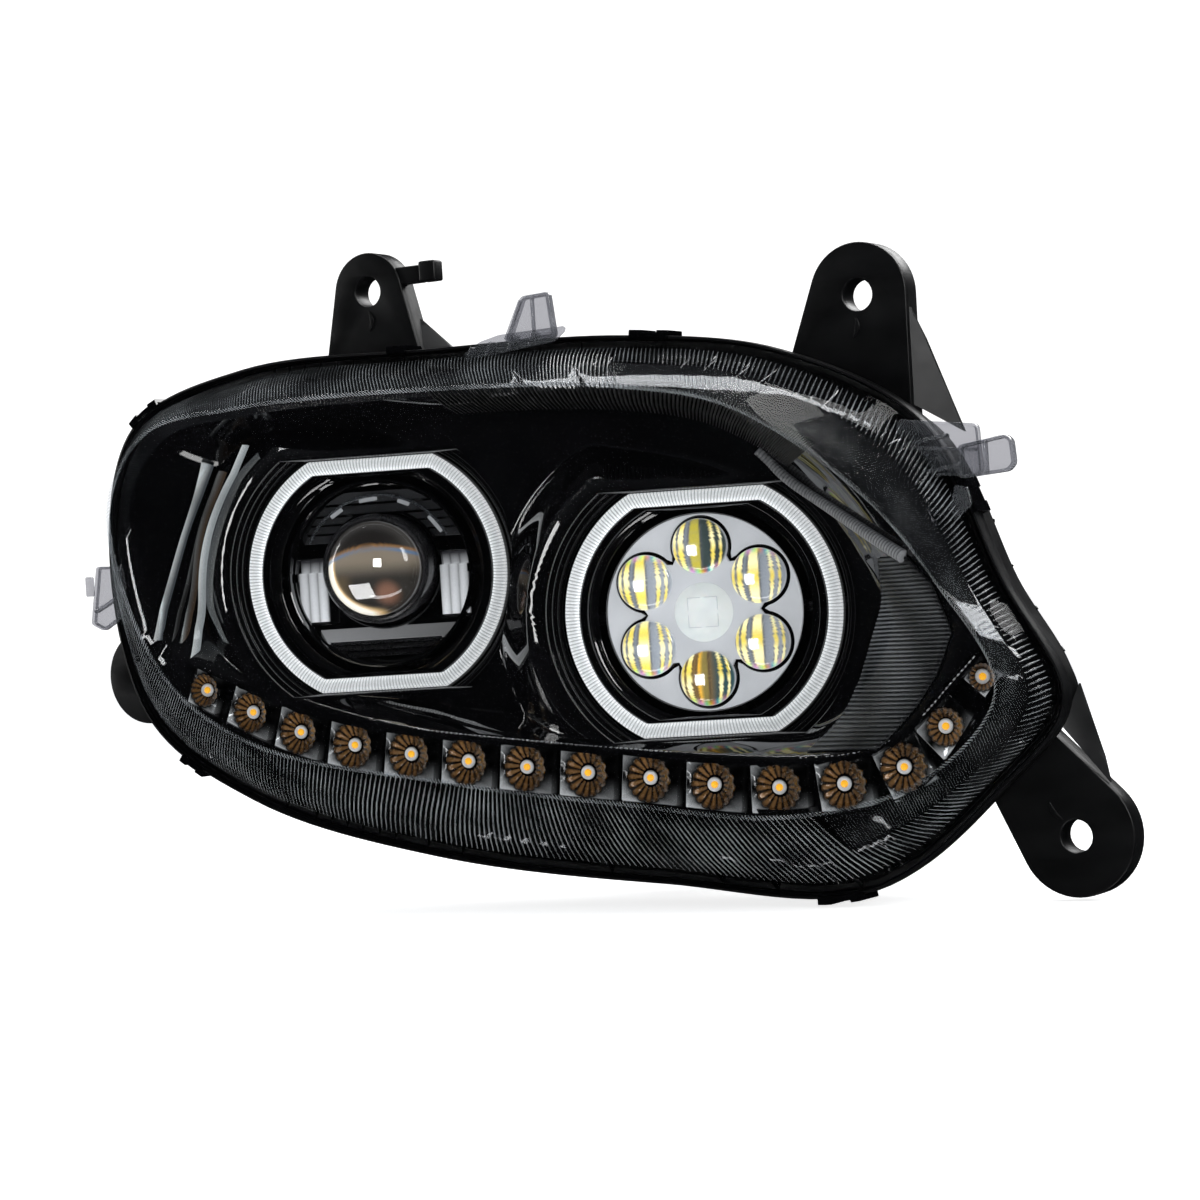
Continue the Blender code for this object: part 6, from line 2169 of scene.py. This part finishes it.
def aimed(target, azimuth, elevation, reach):
    """The place from which a light falls on a target; azimuth 0 is straight ahead of it."""
    turn, rise = math.radians(azimuth), math.radians(elevation)
    return Vector(target) + reach * Vector((math.sin(turn) * math.cos(rise),
                                            -math.cos(turn) * math.cos(rise), math.sin(rise)))


def make_lights():
    middle = (-0.2, 0, -0.1)
    low_lamp, high_lamp = LOW.translation, HIGH.translation
    add_light("key_right", (1.5, -1.0, 0.7), middle, (0.6, 1.0), 15)
    add_light("top", (-0.2, 0.3, 1.9), middle, (2.0, 0.4), 18)
    add_light("side_left", (-2.2, 0.25, 0.3), middle, (0.3, 1.4), 8)
    add_light("under", (0.0, -0.9, -1.3), middle, (1.6, 0.2), 5)
    add_light("rim_back", (0.8, 1.7, 1.2), middle, (1.6, 0.8), 20)
    add_light("projector_window", aimed(low_lamp, 0, 8, 2.2), low_lamp, (0.45, 0.45), 22,
              ("projector_glass",))
    add_light("projector_fill", aimed(low_lamp, -33, -33, 1.5), low_lamp, (0.95, 0.7), 22,
              ("projector_glass",))
    add_light("petal_window", aimed(high_lamp, -19, -4, 2.2), high_lamp, (0.6, 0.6), 22,
              ("high_petal",))


def make_world():
    """White to the camera, dark to reflections and soft grey to everything else."""
    w = NodeTree(bpy.data.worlds.new("studio"), "OutputWorld")
    path = w.add("LightPath").outputs
    height = w.add("SeparateXYZ", Vector=w.places.outputs["Generated"]).outputs["Z"]
    dusk = w.ramp(height, (0.25, (0.003, 0.003, 0.0035)), (0.95, (0.045, 0.047, 0.052)))
    dark = w.add("Background", Color=dusk)
    soft = w.add("Background", Color=(0.9, 0.95, 1, 1), Strength=0.35)
    white = w.add("Background", Strength=1.6)
    lit = w.mix(path["Is Glossy Ray"], soft, dark)
    bpy.context.scene.world = w.surface(w.mix(path["Is Camera Ray"], lit, white))
    bpy.context.scene.view_settings.view_transform = "Standard"


CAMERA_TURN = math.radians(10)
CAMERA_ROLL = math.radians(3.7)
CAMERA_REACH = 2.0
CAMERA_RIGHT, CAMERA_UP = 0.036, -0.0066
CAMERA_LENS, SENSOR_WIDTH = 97.5, 36


def make_camera():
    data = bpy.data.cameras.new("camera")
    data.lens = CAMERA_LENS
    data.sensor_width = SENSOR_WIDTH
    camera = bpy.data.objects.new("camera", data)
    bpy.context.scene.collection.objects.link(camera)
    right = Vector((math.cos(CAMERA_TURN), math.sin(CAMERA_TURN), 0))
    look = Vector((-math.sin(CAMERA_TURN), math.cos(CAMERA_TURN), 0))
    up = Vector((0, 0, 1))
    spot = PANEL_ORIGIN - look * CAMERA_REACH + right * CAMERA_RIGHT + up * CAMERA_UP
    side = right * math.cos(CAMERA_ROLL) - up * math.sin(CAMERA_ROLL)
    top = right * math.sin(CAMERA_ROLL) + up * math.cos(CAMERA_ROLL)
    turn = Matrix((side, top, -look)).transposed().to_4x4()
    camera.matrix_world = Matrix.Translation(spot) @ turn
    bpy.context.scene.camera = camera
    bpy.context.scene.cycles.transparent_max_bounces = 24
    bpy.context.scene.cycles.sample_clamp_indirect = 2
    bpy.context.scene.cycles.blur_glossy = 1


make_housing()
for bracket in BRACKETS:
    make_bracket(bracket)
make_gussets()
make_cable_clip()
make_lens()
make_flutes()
make_rope_edge()
make_bezel()
make_pods()
for lamp_name, lamp_matrix in LAMPS.items():
    make_halo(lamp_name, lamp_matrix)
    make_halo_floor(lamp_name, lamp_matrix)
make_signal_strip()
make_blades()
make_side_flutes()
make_ceiling_ribs()
make_brow()
make_low_cup()
make_low_shelf()
make_side_mirrors()
make_projector()
make_high_cup()
make_flower_optic()
make_locator_tabs()
make_clips()
make_housing_ribs()
make_dust_caps()
make_vent()
make_driver()
make_harness()
make_aim_screws()
finish_kept_nodes()

make_stage()
make_lights()
make_world()
make_camera()
